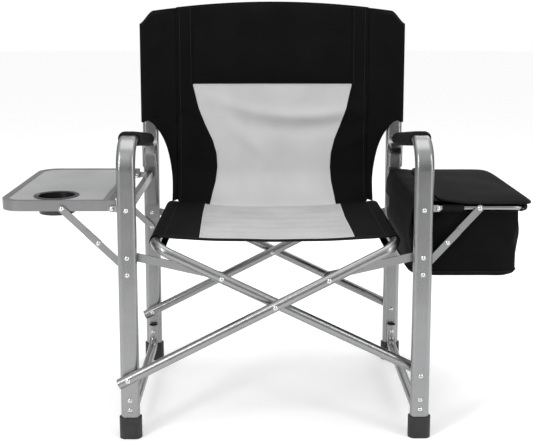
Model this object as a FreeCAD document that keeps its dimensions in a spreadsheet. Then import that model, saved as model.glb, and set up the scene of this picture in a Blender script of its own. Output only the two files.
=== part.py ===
"""Folding camp chair with a side table on one arm and a cooler bag on the other.

Two rigid side frames are joined by a pair of crossed tubes, front and back, and by
four short links. Chair coordinates: X to the right, Y to the back, Z up, with X = 0 in
the middle of the seat, Y = 0 at the centre of the front feet and Z = 0 on the floor.
Every sub-part is then placed by ORIGIN_SHIFT, which puts the middle of the footprint's
bounding box at the origin.
"""
import FreeCAD, Part
import math
import os

import Sketcher
from FreeCAD import Placement, Rotation, Vector

# Driving dimensions in millimetres and degrees: alias, value, meaning.
DRIVING = [
    ("leg_half_span", 308, "centre of a leg to the middle of the chair"),
    ("wheelbase", 450, "front foot to rear foot"),
    ("lean_angle", 5, "degrees that legs and uprights lean back"),
    ("leg_wide", 40, "flat oval tube, across"),
    ("leg_deep", 20, "flat oval tube, front to back"),
    ("leg_wall", 1.6, "flat oval tube, wall"),
    ("tube_dia", 22, "round tube of the cross frames and runners"),
    ("tube_wall", 1.5, "round tube, wall"),
    ("foot_gap", 4, "tube end above the floor, inside its boot"),
    ("upright_top", 850, "top end of a rear upright"),
    ("arm_corner", 632, "height where leg and arm lines meet"),
    ("arm_slope", 8, "degrees that the arm falls towards the back"),
    ("arm_bend", 62, "bend radius at the front of the arm"),
    ("drop_bend", 42, "bend radius at the back of the arm"),
    ("drop_end", 506, "lower end of the arm tube on the upright"),
    ("low_pivot", 134, "height of the cross tubes' lower pivots"),
    ("cross_pivot", 286, "height of the crossing pivot"),
    ("link_pivot", 387, "height of the links' pivots on the legs"),
    ("link_reach", 125, "crossing pivot to link rivet, along the tube"),
    ("rail_half_span", 253, "centre of a seat rail to the middle"),
    ("rail_bend", 40, "bend radius of the cross tubes at the seat"),
    ("brace_pivot", 351.5, "height of the lower brace pivots"),
    ("hinge_height", 486.5, "height of table and bag holder hinges"),
    ("hinge_span", 340, "hinge pin to the middle of the chair"),
    ("table_reach", 445, "brace rivet on the table to the middle"),
    ("holder_reach", 427.6, "brace rivet on the bag holder to the middle"),
    ("table_outer", 578, "outer edge of the table to the middle"),
    ("table_top", 503, "height of the table"),
    ("table_rim", 22, "height of the table's rim"),
    ("holder_outer", 530, "centre of the bag holder's outer rod"),
    ("rod_dia", 10, "bag holder rod"),
    ("bar_thick", 3, "thickness of links and brackets"),
    ("link_wide", 18, "width of a link"),
    ("brace_thick", 2, "thickness of a brace"),
    ("brace_wide", 15, "width of a brace"),
    ("pin_dia", 6, "rivet shank"),
    ("pin_play", 0.05, "radial play of a rivet in its hole"),
    ("head_dia", 10, "rivet head"),
    ("head_rise", 2.2, "rivet head"),
    ("boot_wide", 48, "foot cap, across"),
    ("boot_deep", 28, "foot cap, front to back"),
    ("boot_tall", 45, "foot cap"),
    ("cup_radius", 48, "cup holder flange"),
    ("cup_mouth", 41, "cup holder opening"),
    ("cup_depth", 36, "cup holder"),
    ("cloth", 2, "thickness of the sewn cloth"),
    ("back_corner", 863, "height of the back's corners"),
    ("back_crown", 905, "height of the back's middle"),
]

doc = FreeCAD.newDocument("camp_chair")
sheet = doc.addObject("Spreadsheet::Sheet", "sizes")
for row, (alias, value, meaning) in enumerate(DRIVING, start=1):
    sheet.set("A%d" % row, alias)
    sheet.set("B%d" % row, str(value))
    sheet.set("C%d" % row, meaning)
    sheet.setAlias("B%d" % row, alias)
doc.recompute()

SIDES = {"left": -1, "right": 1}
GAP = 0.4            # clearance between parts that lie against each other
TUBE_GAP = 1.0       # the same for spacers on the cross tubes, which run at a slant
sub_parts = []


def mm(alias):
    """Value of one driving dimension."""
    return float(sheet.get(alias))


lean = math.tan(math.radians(mm("lean_angle")))
low_z = mm("low_pivot")
half_deep = mm("leg_deep") / 2 / math.cos(math.radians(mm("lean_angle")))
tube_r = mm("tube_dia") / 2
pin_r = mm("pin_dia") / 2
hole_r = pin_r + mm("pin_play")
cross_rise = mm("cross_pivot") - low_z
cross_angle = math.degrees(math.atan2(cross_rise, mm("leg_half_span")))
cross_reach = math.hypot(cross_rise, mm("leg_half_span"))
tube_reach = (mm("leg_half_span") + mm("rail_half_span")) / math.cos(math.radians(cross_angle))
link_s = cross_reach + mm("link_reach")

# Layers, front to back, measured from the plane of the front feet. The rear frame
# repeats them one wheelbase further back.
LINK_FRONT = 50.8                    # front face of the links
BRACE_LOW = 51.0                     # front face of the lower brace
BRACE_UP = 53.3                      # front face of the upper brace
RIM_FRONT = 56.3                     # front face of the table's rim
RIM_BACK = 462.7                     # rear face of the table's rim
ROD_FRONT = 61.7                     # centre of the holder's front rod
ROD_BACK = 457.3                     # centre of the holder's rear rod
PLATE_FRONT = 53.0                   # front face of the front hinge plate
PLATE_BACK = 463.0                   # front face of the rear hinge plate
REAR_LOW = 465.5                     # front face of the rear lower brace
REAR_UP = 463.2                      # front face of the rear upper brace
RIM_WIDE = 14.0

# Cross tubes: local X runs up along the tube from its lower pivot, local Y is the
# chair's Y. Each tube drifts in Y as it rises, so that the two clear each other.
TUBE_LAYERS = {
    "cross_tube_a": {"start": lean * low_z - half_deep - 1.5 - tube_r, "end": 32.9, "side": -1},
    "cross_tube_b": {"start": 42.1, "end": 32.7, "side": 1},
}

# The table's outer edge and the bag's lid bound the model sideways, the heads of the
# front pivots and the top of the reclined back bound it front to back.
LEFT_EDGE = -mm("table_outer")
RIGHT_EDGE = mm("holder_outer") + mm("rod_dia") / 2 + 3.5
FRONT_EDGE = TUBE_LAYERS["cross_tube_a"]["start"] - tube_r - GAP - mm("head_rise")
REAR_EDGE = mm("wheelbase") + lean * mm("back_corner") + 14
ORIGIN_SHIFT = Vector(-(LEFT_EDGE + RIGHT_EDGE) / 2, -(FRONT_EDGE + REAR_EDGE) / 2, 0)


def leg_y(height, rear=False):
    """Centre line of a leaning leg at a height."""
    return lean * height + (mm("wheelbase") if rear else 0)


def place(obj, base=Vector(0, 0, 0), rotation=Rotation()):
    """Put a sub-part at a point of the chair and note it for export."""
    obj.Placement = Placement(ORIGIN_SHIFT + base, rotation)
    sub_parts.append(obj)
    return obj


def new_body(label):
    body = doc.addObject("PartDesign::Body", label)
    body.Label = label
    return body


def new_sketch(body, name, role, offset=0.0):
    """Sketch on an origin plane of its own body."""
    plane = [item for item in body.Origin.OriginFeatures if item.Role == role][0]
    sketch = body.newObject("Sketcher::SketchObject", body.Name + "_" + name)
    sketch.AttachmentSupport = [(plane, "")]
    sketch.MapMode = "FlatFace"
    sketch.AttachmentOffset = Placement(Vector(0, 0, offset), Rotation())
    return sketch


def add_circle(sketch, x, y, radius, expression=None):
    """Circle with its radius bound to the sheet when an expression is given."""
    index = sketch.addGeometry(Part.Circle(Vector(x, y, 0), Vector(0, 0, 1), radius))
    where = sketch.addConstraint(Sketcher.Constraint("Radius", index, radius))
    if expression:
        sketch.setExpression("Constraints[%d]" % where, expression)
    return index


def add_outline(sketch, points):
    """Closed polygon through the points."""
    sides = [sketch.addGeometry(Part.LineSegment(Vector(start[0], start[1], 0), Vector(end[0], end[1], 0)))
             for start, end in zip(points, points[1:] + points[:1])]
    for side, following in zip(sides, sides[1:] + sides[:1]):
        sketch.addConstraint(Sketcher.Constraint("Coincident", side, 2, following, 1))


def add_slot(sketch, wide, deep, x=0.0, y=0.0):
    """Flat oval: two half circles joined by two straight sides."""
    r = deep / 2
    reach = wide / 2 - r
    axis = Vector(0, 0, 1)
    right = Part.ArcOfCircle(Part.Circle(Vector(x + reach, y, 0), axis, r), -math.pi / 2, math.pi / 2)
    left = Part.ArcOfCircle(Part.Circle(Vector(x - reach, y, 0), axis, r), math.pi / 2, 3 * math.pi / 2)
    top = Part.LineSegment(Vector(x + reach, y + r, 0), Vector(x - reach, y + r, 0))
    bottom = Part.LineSegment(Vector(x - reach, y - r, 0), Vector(x + reach, y - r, 0))
    first = sketch.addGeometry(right)
    second = sketch.addGeometry(top)
    third = sketch.addGeometry(left)
    fourth = sketch.addGeometry(bottom)
    ring = [(first, 2, second, 1), (second, 2, third, 1), (third, 2, fourth, 1), (fourth, 2, first, 1)]
    for joint in ring:
        sketch.addConstraint(Sketcher.Constraint("Tangent", *joint))
    return first


def bound_slot(sketch, wide, deep, x=0.0, y=0.0, inset=0.0):
    """Flat oval whose end radius follows a cell of the sheet, less an inset."""
    first = add_slot(sketch, mm(wide) - 2 * inset, mm(deep) - 2 * inset, x, y)
    radius = mm(deep) / 2 - inset
    where = sketch.addConstraint(Sketcher.Constraint("Radius", first, radius))
    sketch.setExpression("Constraints[%d]" % where, "sizes.%s / 2 - %g" % (deep, inset))


def rounded_path(sketch, corners, radii):
    """Open run of straight lines joined by tangent arcs; returns its edge names."""
    points = [Vector(corner[0], corner[1], 0) for corner in corners]
    start = points[0]
    edges = []
    for index in range(1, len(points) - 1):
        back = (points[index - 1] - points[index]).normalize()
        ahead = (points[index + 1] - points[index]).normalize()
        half = back.getAngle(ahead) / 2
        cut = radii[index - 1] / math.tan(half)
        first = points[index] + back * cut
        last = points[index] + ahead * cut
        bisector = (back + ahead).normalize()
        middle = points[index] + bisector * (radii[index - 1] / math.sin(half) - radii[index - 1])
        edges.append(Part.LineSegment(start, first))
        edges.append(Part.Arc(first, middle, last))
        start = last
    edges.append(Part.LineSegment(start, points[-1]))
    for edge in edges:
        sketch.addGeometry(edge)
    return ["Edge%d" % (number + 1) for number in range(len(edges))]


def pipe(body, profile, path, edge_names):
    """Sweep a profile sketch along a path sketch."""
    feature = body.newObject("PartDesign::AdditivePipe", body.Name + "_pipe")
    feature.Profile = profile
    feature.Spine = (path, edge_names)
    feature.Mode = "Standard"
    return feature


def drill(body, spots, radius=None):
    """Holes along Y through the whole body at (x, z) spots."""
    if not spots:
        return
    doc.recompute()
    before = body.Shape.Volume
    sketch = new_sketch(body, "holes", "XZ_Plane")
    for x, z in spots:
        add_circle(sketch, x, z, radius or hole_r, None if radius else "sizes.pin_dia / 2 + sizes.pin_play")
    cut = body.newObject("PartDesign::Pocket", body.Name + "_drill")
    cut.Profile = sketch
    cut.Length = 4000
    cut.Midplane = True
    doc.recompute()
    if body.Shape.Volume >= before - 1e-6:
        raise RuntimeError("holes cut nothing in " + body.Label)


def pad(body, sketch, length, expression=None, reverse=False):
    """Extrude a sketch along its normal."""
    feature = body.newObject("PartDesign::Pad", sketch.Name + "_pad")
    feature.Profile = sketch
    feature.Length = length
    feature.Reversed = reverse
    if expression:
        feature.setExpression("Length", expression)
    return feature


def loft(body, kind, sketches):
    """Additive or subtractive loft through sketches."""
    feature = body.newObject("PartDesign::" + kind, sketches[0].Name + "_loft")
    feature.Profile = sketches[0]
    feature.Sections = sketches[1:]
    feature.Ruled = True
    return feature


# ---------------------------------------------------------------- side frames

def leg_and_arm(side):
    """Front leg that bends back into the arm and down along the rear upright."""
    body = new_body(side + "_leg_and_arm")
    start = mm("foot_gap")
    profile = new_sketch(body, "profile", "XY_Plane", start)
    bound_slot(profile, "leg_wide", "leg_deep", 0, leg_y(start))
    bound_slot(profile, "leg_wide", "leg_deep", 0, leg_y(start), mm("leg_wall"))
    corner = (leg_y(mm("arm_corner")), mm("arm_corner"))
    fall = math.tan(math.radians(mm("arm_slope")))
    drop_offset = leg_y(0, True) - 2 * half_deep - GAP
    back_y = (drop_offset + lean * (corner[1] + fall * corner[0])) / (1 + lean * fall)
    back = (back_y, corner[1] - fall * (back_y - corner[0]))
    end = (drop_offset + lean * mm("drop_end"), mm("drop_end"))
    path = new_sketch(body, "path", "YZ_Plane")
    names = rounded_path(path, [(leg_y(start), start), corner, back, end],
                         [mm("arm_bend"), mm("drop_bend")])
    pipe(body, profile, path, names)
    spots = [61, 82, low_z, mm("brace_pivot"), mm("link_pivot"), mm("hinge_height")]
    drill(body, [(0, spot) for spot in spots])
    return place(body, Vector(SIDES[side] * mm("leg_half_span"), 0, 0))


def rear_upright(side):
    """Flat oval tube from the rear foot to the top of the back."""
    body = new_body(side + "_rear_upright")
    start = mm("foot_gap")
    profile = new_sketch(body, "profile", "XY_Plane", start)
    bound_slot(profile, "leg_wide", "leg_deep", 0, leg_y(start, True))
    bound_slot(profile, "leg_wide", "leg_deep", 0, leg_y(start, True), mm("leg_wall"))
    column = pad(body, profile, mm("upright_top") - start, "sizes.upright_top - sizes.foot_gap")
    column.UseCustomVector = True
    column.Direction = Vector(0, lean, 1)
    column.AlongSketchNormal = True
    spots = [62, 82, low_z, mm("brace_pivot"), mm("link_pivot"), mm("hinge_height")]
    drill(body, [(0, spot) for spot in spots])
    return place(body, Vector(SIDES[side] * mm("leg_half_span"), 0, 0))


def runner(side):
    """Bottom tube, turned up behind the front leg and in front of the upright."""
    body = new_body(side + "_runner")
    top = 98.0
    low = 44.0
    front = half_deep + GAP + tube_r
    back = -half_deep - GAP - tube_r
    profile = new_sketch(body, "profile", "XY_Plane", top)
    start = leg_y(top) + front
    add_circle(profile, 0, start, tube_r, "sizes.tube_dia / 2")
    add_circle(profile, 0, start, tube_r - mm("tube_wall"), "sizes.tube_dia / 2 - sizes.tube_wall")
    path = new_sketch(body, "path", "YZ_Plane")
    names = rounded_path(path, [(start, top), (leg_y(low) + front, low),
                                (leg_y(low, True) + back, low), (leg_y(top, True) + back, top)], [30, 30])
    pipe(body, profile, path, names)
    drill(body, [(0, 82)])
    return place(body, Vector(SIDES[side] * mm("leg_half_span"), 0, 0))


def side_rail(side):
    """Bar between leg and upright, with the hinge plates of table or holder."""
    body = new_body(side + "_side_rail")
    height = mm("hinge_height")
    reach = mm("hinge_span") - mm("leg_half_span")
    plates = [(PLATE_FRONT, "front"), (PLATE_BACK, "rear")]
    for y, name in plates:
        sketch = new_sketch(body, name + "_plate", "XZ_Plane", -y)
        add_slot(sketch, reach + 14, 14, SIDES[side] * reach / 2, height)
        pad(body, sketch, mm("bar_thick"), "sizes.bar_thick", True)
        if name == "front":
            bar = new_sketch(body, "bar", "XZ_Plane", -(PLATE_FRONT + mm("bar_thick")) + 0.5)
            add_outline(bar, [(-6, height - 10), (6, height - 10), (6, height + 10), (-6, height + 10)])
            pad(body, bar, PLATE_BACK - PLATE_FRONT - mm("bar_thick") + 1.0, None, True)
    sketch = new_sketch(body, "pin_holes", "XZ_Plane")
    add_circle(sketch, SIDES[side] * reach, height, hole_r, "sizes.pin_dia / 2 + sizes.pin_play")
    cut = body.newObject("PartDesign::Pocket", body.Name + "_pin_cut")
    cut.Profile = sketch
    cut.Length = 4000
    cut.Midplane = True
    return place(body, Vector(SIDES[side] * mm("leg_half_span"), 0, 0))


def boot(side, rear):
    """Leaning cap with a flat sole and a blind pocket for the tube."""
    body = new_body("%s_%s_boot" % (side, "rear" if rear else "front"))
    tall = mm("boot_tall")
    outer = []
    for height in (0.0, tall):
        sketch = new_sketch(body, "outer%d" % height, "XY_Plane", height)
        bound_slot(sketch, "boot_wide", "boot_deep", 0, leg_y(height, rear))
        outer.append(sketch)
    loft(body, "AdditiveLoft", outer)
    inner = []
    for height in (mm("foot_gap") - GAP, tall + 1):
        sketch = new_sketch(body, "inner%d" % height, "XY_Plane", height)
        add_slot(sketch, mm("leg_wide") + 0.6, mm("leg_deep") + 0.6, 0, leg_y(height, rear))
        inner.append(sketch)
    loft(body, "SubtractiveLoft", inner)
    return place(body, Vector(SIDES[side] * mm("leg_half_span"), 0, 0))


def arm_pad(side):
    """Foam sleeve round the straight part of the arm."""
    body = new_body(side + "_arm_pad")
    corner_y = leg_y(mm("arm_corner"))
    length = 262.0
    outer = new_sketch(body, "ring", "XZ_Plane", 0)
    add_slot(outer, mm("leg_wide") + 8, mm("leg_deep") + 12, 0, 2)
    add_slot(outer, mm("leg_wide") + 0.6, mm("leg_deep") + 0.6, 0, 0)
    pad(body, outer, length, None, True)
    tilt = Rotation(Vector(1, 0, 0), -mm("arm_slope"))
    start = Vector(SIDES[side] * mm("leg_half_span"), corner_y, mm("arm_corner"))
    start = start + tilt.multVec(Vector(0, 62, 0))
    return place(body, start, tilt)


def rear_plate(side):
    """Small plate on the front of the upright under the link's rivet."""
    body = new_body(side + "_rear_plate")
    sketch = new_sketch(body, "outline", "XZ_Plane", 0)
    add_outline(sketch, [(-15, -13), (15, -13), (17, 12), (10, 20), (-10, 20), (-17, 12)])
    pad(body, sketch, 2.0, None, True)
    tilt = Rotation(Vector(1, 0, 0), -mm("lean_angle"))
    drill(body, [(0, 0)], hole_r + 0.3)
    face = leg_y(mm("link_pivot"), True) - half_deep - 2.6
    return place(body, Vector(SIDES[side] * mm("leg_half_span"), face, mm("link_pivot")), tilt)


def upright_cap(side):
    """Plug that closes the top of a rear upright inside the cloth."""
    top = mm("upright_top")
    body = new_body(side + "_upright_cap")
    plug = new_sketch(body, "plug", "XY_Plane", 0)
    add_slot(plug, mm("leg_wide"), mm("leg_deep"))
    pad(body, plug, 3.0)
    return place(body, Vector(SIDES[side] * mm("leg_half_span"), leg_y(top, True), top))


# ------------------------------------------------------------------- fasteners

def rivet_head(x, z, face, away):
    """Spherical cap on a face; away is -1 for a head in front, 1 for one behind."""
    head_r = mm("head_dia") / 2
    rise = mm("head_rise")
    ball = (head_r ** 2 + rise ** 2) / (2 * rise)
    half = math.asin(head_r / ball) / 2
    rim = Vector(head_r, 0, 0)
    middle = Vector(ball * math.sin(half), rise - ball * (1 - math.cos(half)), 0)
    tip = Vector(0, rise, 0)
    edges = [Part.Arc(rim, middle, tip), Part.LineSegment(tip, Vector(0, 0, 0)),
             Part.LineSegment(Vector(0, 0, 0), rim)]
    face_shape = Part.Face(Part.Wire([edge.toShape() for edge in edges]))
    cap = face_shape.revolve(Vector(0, 0, 0), Vector(0, 1, 0), 360)
    cap = Part.Solid(Part.Shell(cap.Faces)) if cap.ShapeType != "Solid" else cap
    if cap.Volume < 0:
        cap.reverse()
    if away < 0:
        cap.rotate(Vector(0, 0, 0), Vector(0, 0, 1), 180)
    cap.translate(Vector(x, face, z))
    return cap


def rivet(x, z, front, back, front_head=True, back_head=True):
    """Round rivet along Y from one face to the other, with domed heads."""
    solid = Part.makeCylinder(pin_r, back - front, Vector(x, front, z), Vector(0, 1, 0))
    if front_head:
        solid = solid.fuse(rivet_head(x, z, front, -1))
    if back_head:
        solid = solid.fuse(rivet_head(x, z, back, 1))
    return solid.removeSplitter()


def head_only(x, z, face, forward):
    """Rivet head that lies on a face and has no shank."""
    short = 0.6
    if forward:
        return rivet(x, z, face - short, face, True, False)
    return rivet(x, z, face, face + short, False, True)


def bush(x, z, front, back, outer=6.0):
    """Spacer ring along Y."""
    ring = Part.makeCylinder(outer, back - front, Vector(x, front, z), Vector(0, 1, 0))
    bore = Part.makeCylinder(hole_r, back - front + 2, Vector(x, front - 1, z), Vector(0, 1, 0))
    return ring.cut(bore)


def group(label, solids):
    """Node made of separate solids."""
    feature = doc.addObject("Part::Feature", label)
    feature.Label = label
    feature.Shape = Part.makeCompound(solids)
    return place(feature)


def tube_y(name, s):
    """Y of a cross tube's front leg at a distance from its lower pivot."""
    layer = TUBE_LAYERS[name]
    return layer["start"] + (layer["end"] - layer["start"]) * s / tube_reach


def cross_hole(x, z):
    """Drill along Y whose own seam is turned away from the tube's seam."""
    drill_bit = Part.makeCylinder(hole_r, 1000, Vector(0, 0, 0), Vector(0, 1, 0))
    drill_bit.rotate(Vector(0, 0, 0), Vector(0, 1, 0), 50)
    drill_bit.translate(Vector(x, -200, z))
    return drill_bit


def cross_tube(name):
    """One-piece U: front cross leg, seat rail and rear cross leg."""
    side = TUBE_LAYERS[name]["side"]
    body = new_body(name + "_bar")
    tail = -22.0
    first = tube_y(name, tail)
    profile = new_sketch(body, "profile", "YZ_Plane", tail)
    add_circle(profile, first, 0, tube_r, "sizes.tube_dia / 2")
    add_circle(profile, first, 0, tube_r - mm("tube_wall"), "sizes.tube_dia / 2 - sizes.tube_wall")
    path = new_sketch(body, "path", "XY_Plane")
    wheelbase = mm("wheelbase")
    corners = [(tail, first), (tube_reach, tube_y(name, tube_reach)),
               (tube_reach, tube_y(name, tube_reach) + wheelbase), (tail, first + wheelbase)]
    names = rounded_path(path, corners, [mm("rail_bend"), mm("rail_bend")])
    pipe(body, profile, path, names)
    spots = [(cross_reach, 0), (link_s, 0)]
    if name == "cross_tube_a":
        spots.append((0, 0))
    doc.recompute()
    bent = body.Shape
    tube = doc.addObject("Part::Feature", name)
    tube.Shape = bent.cut([cross_hole(x, z) for x, z in spots])
    tube.Label = name
    lost = bent.Volume - tube.Shape.Volume
    if lost < len(spots) * 4 * math.pi * hole_r ** 2 * mm("tube_wall"):
        raise RuntimeError("a hole is missing in " + name)
    # The left tube rises to the right; the right one is the same tube turned about Z.
    turn = Rotation(Vector(0, 1, 0), -cross_angle)
    if side > 0:
        turn = Rotation(Vector(0, 1, 0), cross_angle - 180)
    return place(tube, Vector(side * mm("leg_half_span"), 0, low_z), turn)


def along_tube(name, s):
    """X and Z of a point at a distance up a cross tube at rest."""
    side = TUBE_LAYERS[name]["side"]
    angle = math.radians(cross_angle)
    return side * (mm("leg_half_span") - s * math.cos(angle)), low_z + s * math.sin(angle)


def cross_fasteners():
    """Rivets and washers of the crossing and of the links' open ends."""
    rivets = {"cross_tube_a": [], "cross_tube_b": []}
    spacers = {"cross_tube_a": [], "cross_tube_b": []}
    for rear in (0.0, mm("wheelbase")):
        x, z = along_tube("cross_tube_a", cross_reach)
        front = tube_y("cross_tube_a", cross_reach) - tube_r - GAP + rear
        back = tube_y("cross_tube_b", cross_reach) + tube_r + GAP + rear
        rivets["cross_tube_a"].append(rivet(x, z, front, back))
        washer_front = tube_y("cross_tube_a", cross_reach) + tube_r + 2 * GAP + rear
        washer_back = tube_y("cross_tube_b", cross_reach) - tube_r - GAP + rear
        spacers["cross_tube_a"].append(bush(x, z, washer_front, washer_back, 7.0))
        for name in TUBE_LAYERS:
            x, z = along_tube(name, link_s)
            middle = tube_y(name, link_s) + rear
            rivets[name].append(rivet(x, z, middle - tube_r - GAP, LINK_FRONT - 0.5 + rear, True, False))
            spacers[name].append(bush(x, z, middle + tube_r + TUBE_GAP, LINK_FRONT - 0.5 + rear))
    for name in TUBE_LAYERS:
        group(name + "_rivets", rivets[name])
        group(name + "_spacers", spacers[name])


def link(side, rear):
    """Flat bar from a leg to the cross tube of the other side."""
    body = new_body("%s_%s_link" % (side, "rear" if rear else "front"))
    name = "cross_tube_b" if side == "left" else "cross_tube_a"
    x, z = along_tube(name, link_s)
    pivot = Vector(SIDES[side] * mm("leg_half_span"), 0, mm("link_pivot"))
    run = Vector(x - pivot.x, 0, z - pivot.z)
    sketch = new_sketch(body, "bar", "XZ_Plane", 0)
    add_slot(sketch, run.Length + mm("link_wide"), mm("link_wide"), run.Length / 2, 0)
    pad(body, sketch, mm("bar_thick"), "sizes.bar_thick", True)
    drill(body, [(0, 0)])
    turn = Rotation(Vector(0, 1, 0), -math.degrees(math.atan2(run.z, run.x)))
    base = Vector(pivot.x, LINK_FRONT + (mm("wheelbase") if rear else 0), pivot.z)
    return place(body, base, turn)


def frame_fasteners(side):
    """Rivets and spacers that belong to one side frame."""
    x = SIDES[side] * mm("leg_half_span")
    rivets = []
    spacers = []
    for rear in (False, True):
        shift = mm("wheelbase") if rear else 0.0

        def front_face(height):
            return leg_y(height, rear) - half_deep - GAP

        def back_face(height):
            return leg_y(height, rear) + half_deep + GAP

        # Runner: through leg and tube in front, through tube and upright behind.
        if rear:
            rivets.append(rivet(x, 82, leg_y(82, True) - half_deep - 2 * GAP - 2 * tube_r, back_face(82)))
        else:
            rivets.append(rivet(x, 82, front_face(82), back_face(82) + 2 * tube_r + GAP))
        spare = 62 if rear else 61
        spare_back = back_face(spare)
        rivets.append(rivet(x, spare, front_face(spare), spare_back, not rear, rear))
        # Lower pivot of the cross tubes.
        if side == "left":
            start = TUBE_LAYERS["cross_tube_a"]["start"] + shift - tube_r - GAP
            rivets.append(rivet(x, low_z, start, back_face(low_z)))
        else:
            end = TUBE_LAYERS["cross_tube_b"]["start"] + shift - tube_r - 1.0
            rivets.append(rivet(x, low_z, front_face(low_z), end, True, False))
            spacers.append(bush(x, low_z, back_face(low_z) + GAP, end))
        # Link pivot.
        z = mm("link_pivot")
        start = front_face(z) - (2.6 if rear else 0.0)
        rivets.append(rivet(x, z, start, LINK_FRONT + mm("bar_thick") + 0.3 + shift))
        spacers.append(bush(x, z, back_face(z) + GAP, LINK_FRONT - 0.3 + shift))
        # Lower brace pivot.
        z = mm("brace_pivot")
        if rear:
            rivets.append(rivet(x, z, REAR_LOW - 0.3, back_face(z)))
            spacers.append(bush(x, z, REAR_LOW + mm("brace_thick") + 0.2, front_face(z) - GAP))
        else:
            rivets.append(rivet(x, z, front_face(z), BRACE_LOW + mm("brace_thick") + 0.3))
            spacers.append(bush(x, z, back_face(z) + GAP, BRACE_LOW - 0.3))
        # Side rail and hinge pin.
        z = mm("hinge_height")
        hinge_x = SIDES[side] * mm("hinge_span")
        if rear:
            rivets.append(rivet(x, z, PLATE_BACK + mm("bar_thick") + 0.2, back_face(z), False, True))
            spacers.append(bush(x, z, PLATE_BACK + mm("bar_thick") + 0.4, front_face(z) - GAP))
        else:
            rivets.append(rivet(x, z, front_face(z), PLATE_FRONT - 0.1, True, False))
        if side == "left":
            inner = 1.0 + RIM_WIDE
        else:
            inner = mm("rod_dia") + 1.0
        if rear:
            rivets.append(rivet(hinge_x, z, PLATE_BACK - inner - 0.3, PLATE_BACK + mm("bar_thick") + 0.3))
        else:
            rivets.append(rivet(hinge_x, z, PLATE_FRONT - 0.3, PLATE_FRONT + mm("bar_thick") + inner + 0.3))
    group(side + "_frame_rivets", rivets)
    group(side + "_frame_spacers", spacers)


# ---------------------------------------------------------------------- braces

def brace_points(reach, anchor_height):
    """Pivot on the leg, elbow and upper rivet of a brace, in X and Z."""
    pivot = Vector(mm("leg_half_span"), 0, mm("brace_pivot"))
    upper = Vector(reach, 0, anchor_height)
    elbow = pivot + (upper - pivot) * 0.4565
    return pivot, elbow, upper


def brace(kind, part_name, rear):
    """Half of a folding brace: flat bar with round ends."""
    side = -1 if kind == "table" else 1
    reach = mm("table_reach") if kind == "table" else mm("holder_reach")
    pivot, elbow, upper = brace_points(reach, mm("hinge_height"))
    start, end = (pivot, elbow) if part_name == "lower" else (upper, elbow)
    body = new_body("%s_%s_brace_%s" % (kind, "rear" if rear else "front", part_name))
    run = Vector(side * (end.x - start.x), 0, end.z - start.z)
    extra = 30.0 if part_name == "lower" else 0.0
    sketch = new_sketch(body, "bar", "XZ_Plane", 0)
    add_slot(sketch, run.Length + extra + mm("brace_wide"), mm("brace_wide"), (run.Length + extra) / 2, 0)
    pad(body, sketch, mm("brace_thick"), "sizes.brace_thick", True)
    drill(body, [(0, 0)])
    if part_name == "lower":
        y = REAR_LOW if rear else BRACE_LOW
    else:
        y = REAR_UP if rear else BRACE_UP
    turn = Rotation(Vector(0, 1, 0), -math.degrees(math.atan2(run.z, run.x)))
    return place(body, Vector(side * start.x, y, start.z), turn)


def brace_rivets(kind):
    """Elbow rivet heads on the lower halves of a pair of braces."""
    side = -1 if kind == "table" else 1
    reach = mm("table_reach") if kind == "table" else mm("holder_reach")
    elbow = brace_points(reach, mm("hinge_height"))[1]
    back = REAR_LOW + mm("brace_thick")
    solids = [head_only(side * elbow.x, elbow.z, BRACE_LOW - 0.02, True),
              head_only(side * elbow.x, elbow.z, back + 0.02, False)]
    group(kind + "_elbow_rivets", solids)


# ----------------------------------------------------------------------- table

def rounded_sheet(outer, inner_x, front, back, radius):
    """Outline with two round corners on the outer side, as a wire."""
    a = Vector(inner_x, front, 0)
    b = Vector(outer + radius, front, 0)
    c = Vector(outer, front + radius, 0)
    d = Vector(outer, back - radius, 0)
    e = Vector(outer + radius, back, 0)
    f = Vector(inner_x, back, 0)
    bend = radius * (1 - math.sqrt(0.5))
    low_mid = Vector(outer + bend, front + bend, 0)
    top_mid = Vector(outer + bend, back - bend, 0)
    edges = [Part.LineSegment(a, b), Part.Arc(b, low_mid, c), Part.LineSegment(c, d),
             Part.Arc(d, top_mid, e), Part.LineSegment(e, f), Part.LineSegment(f, a)]
    return Part.Wire([edge.toShape() for edge in edges])


def slab(wire, low, high):
    """Upright prism on a wire between two heights."""
    wire.translate(Vector(0, 0, low))
    return Part.Face(wire).extrude(Vector(0, 0, high - low))


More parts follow.
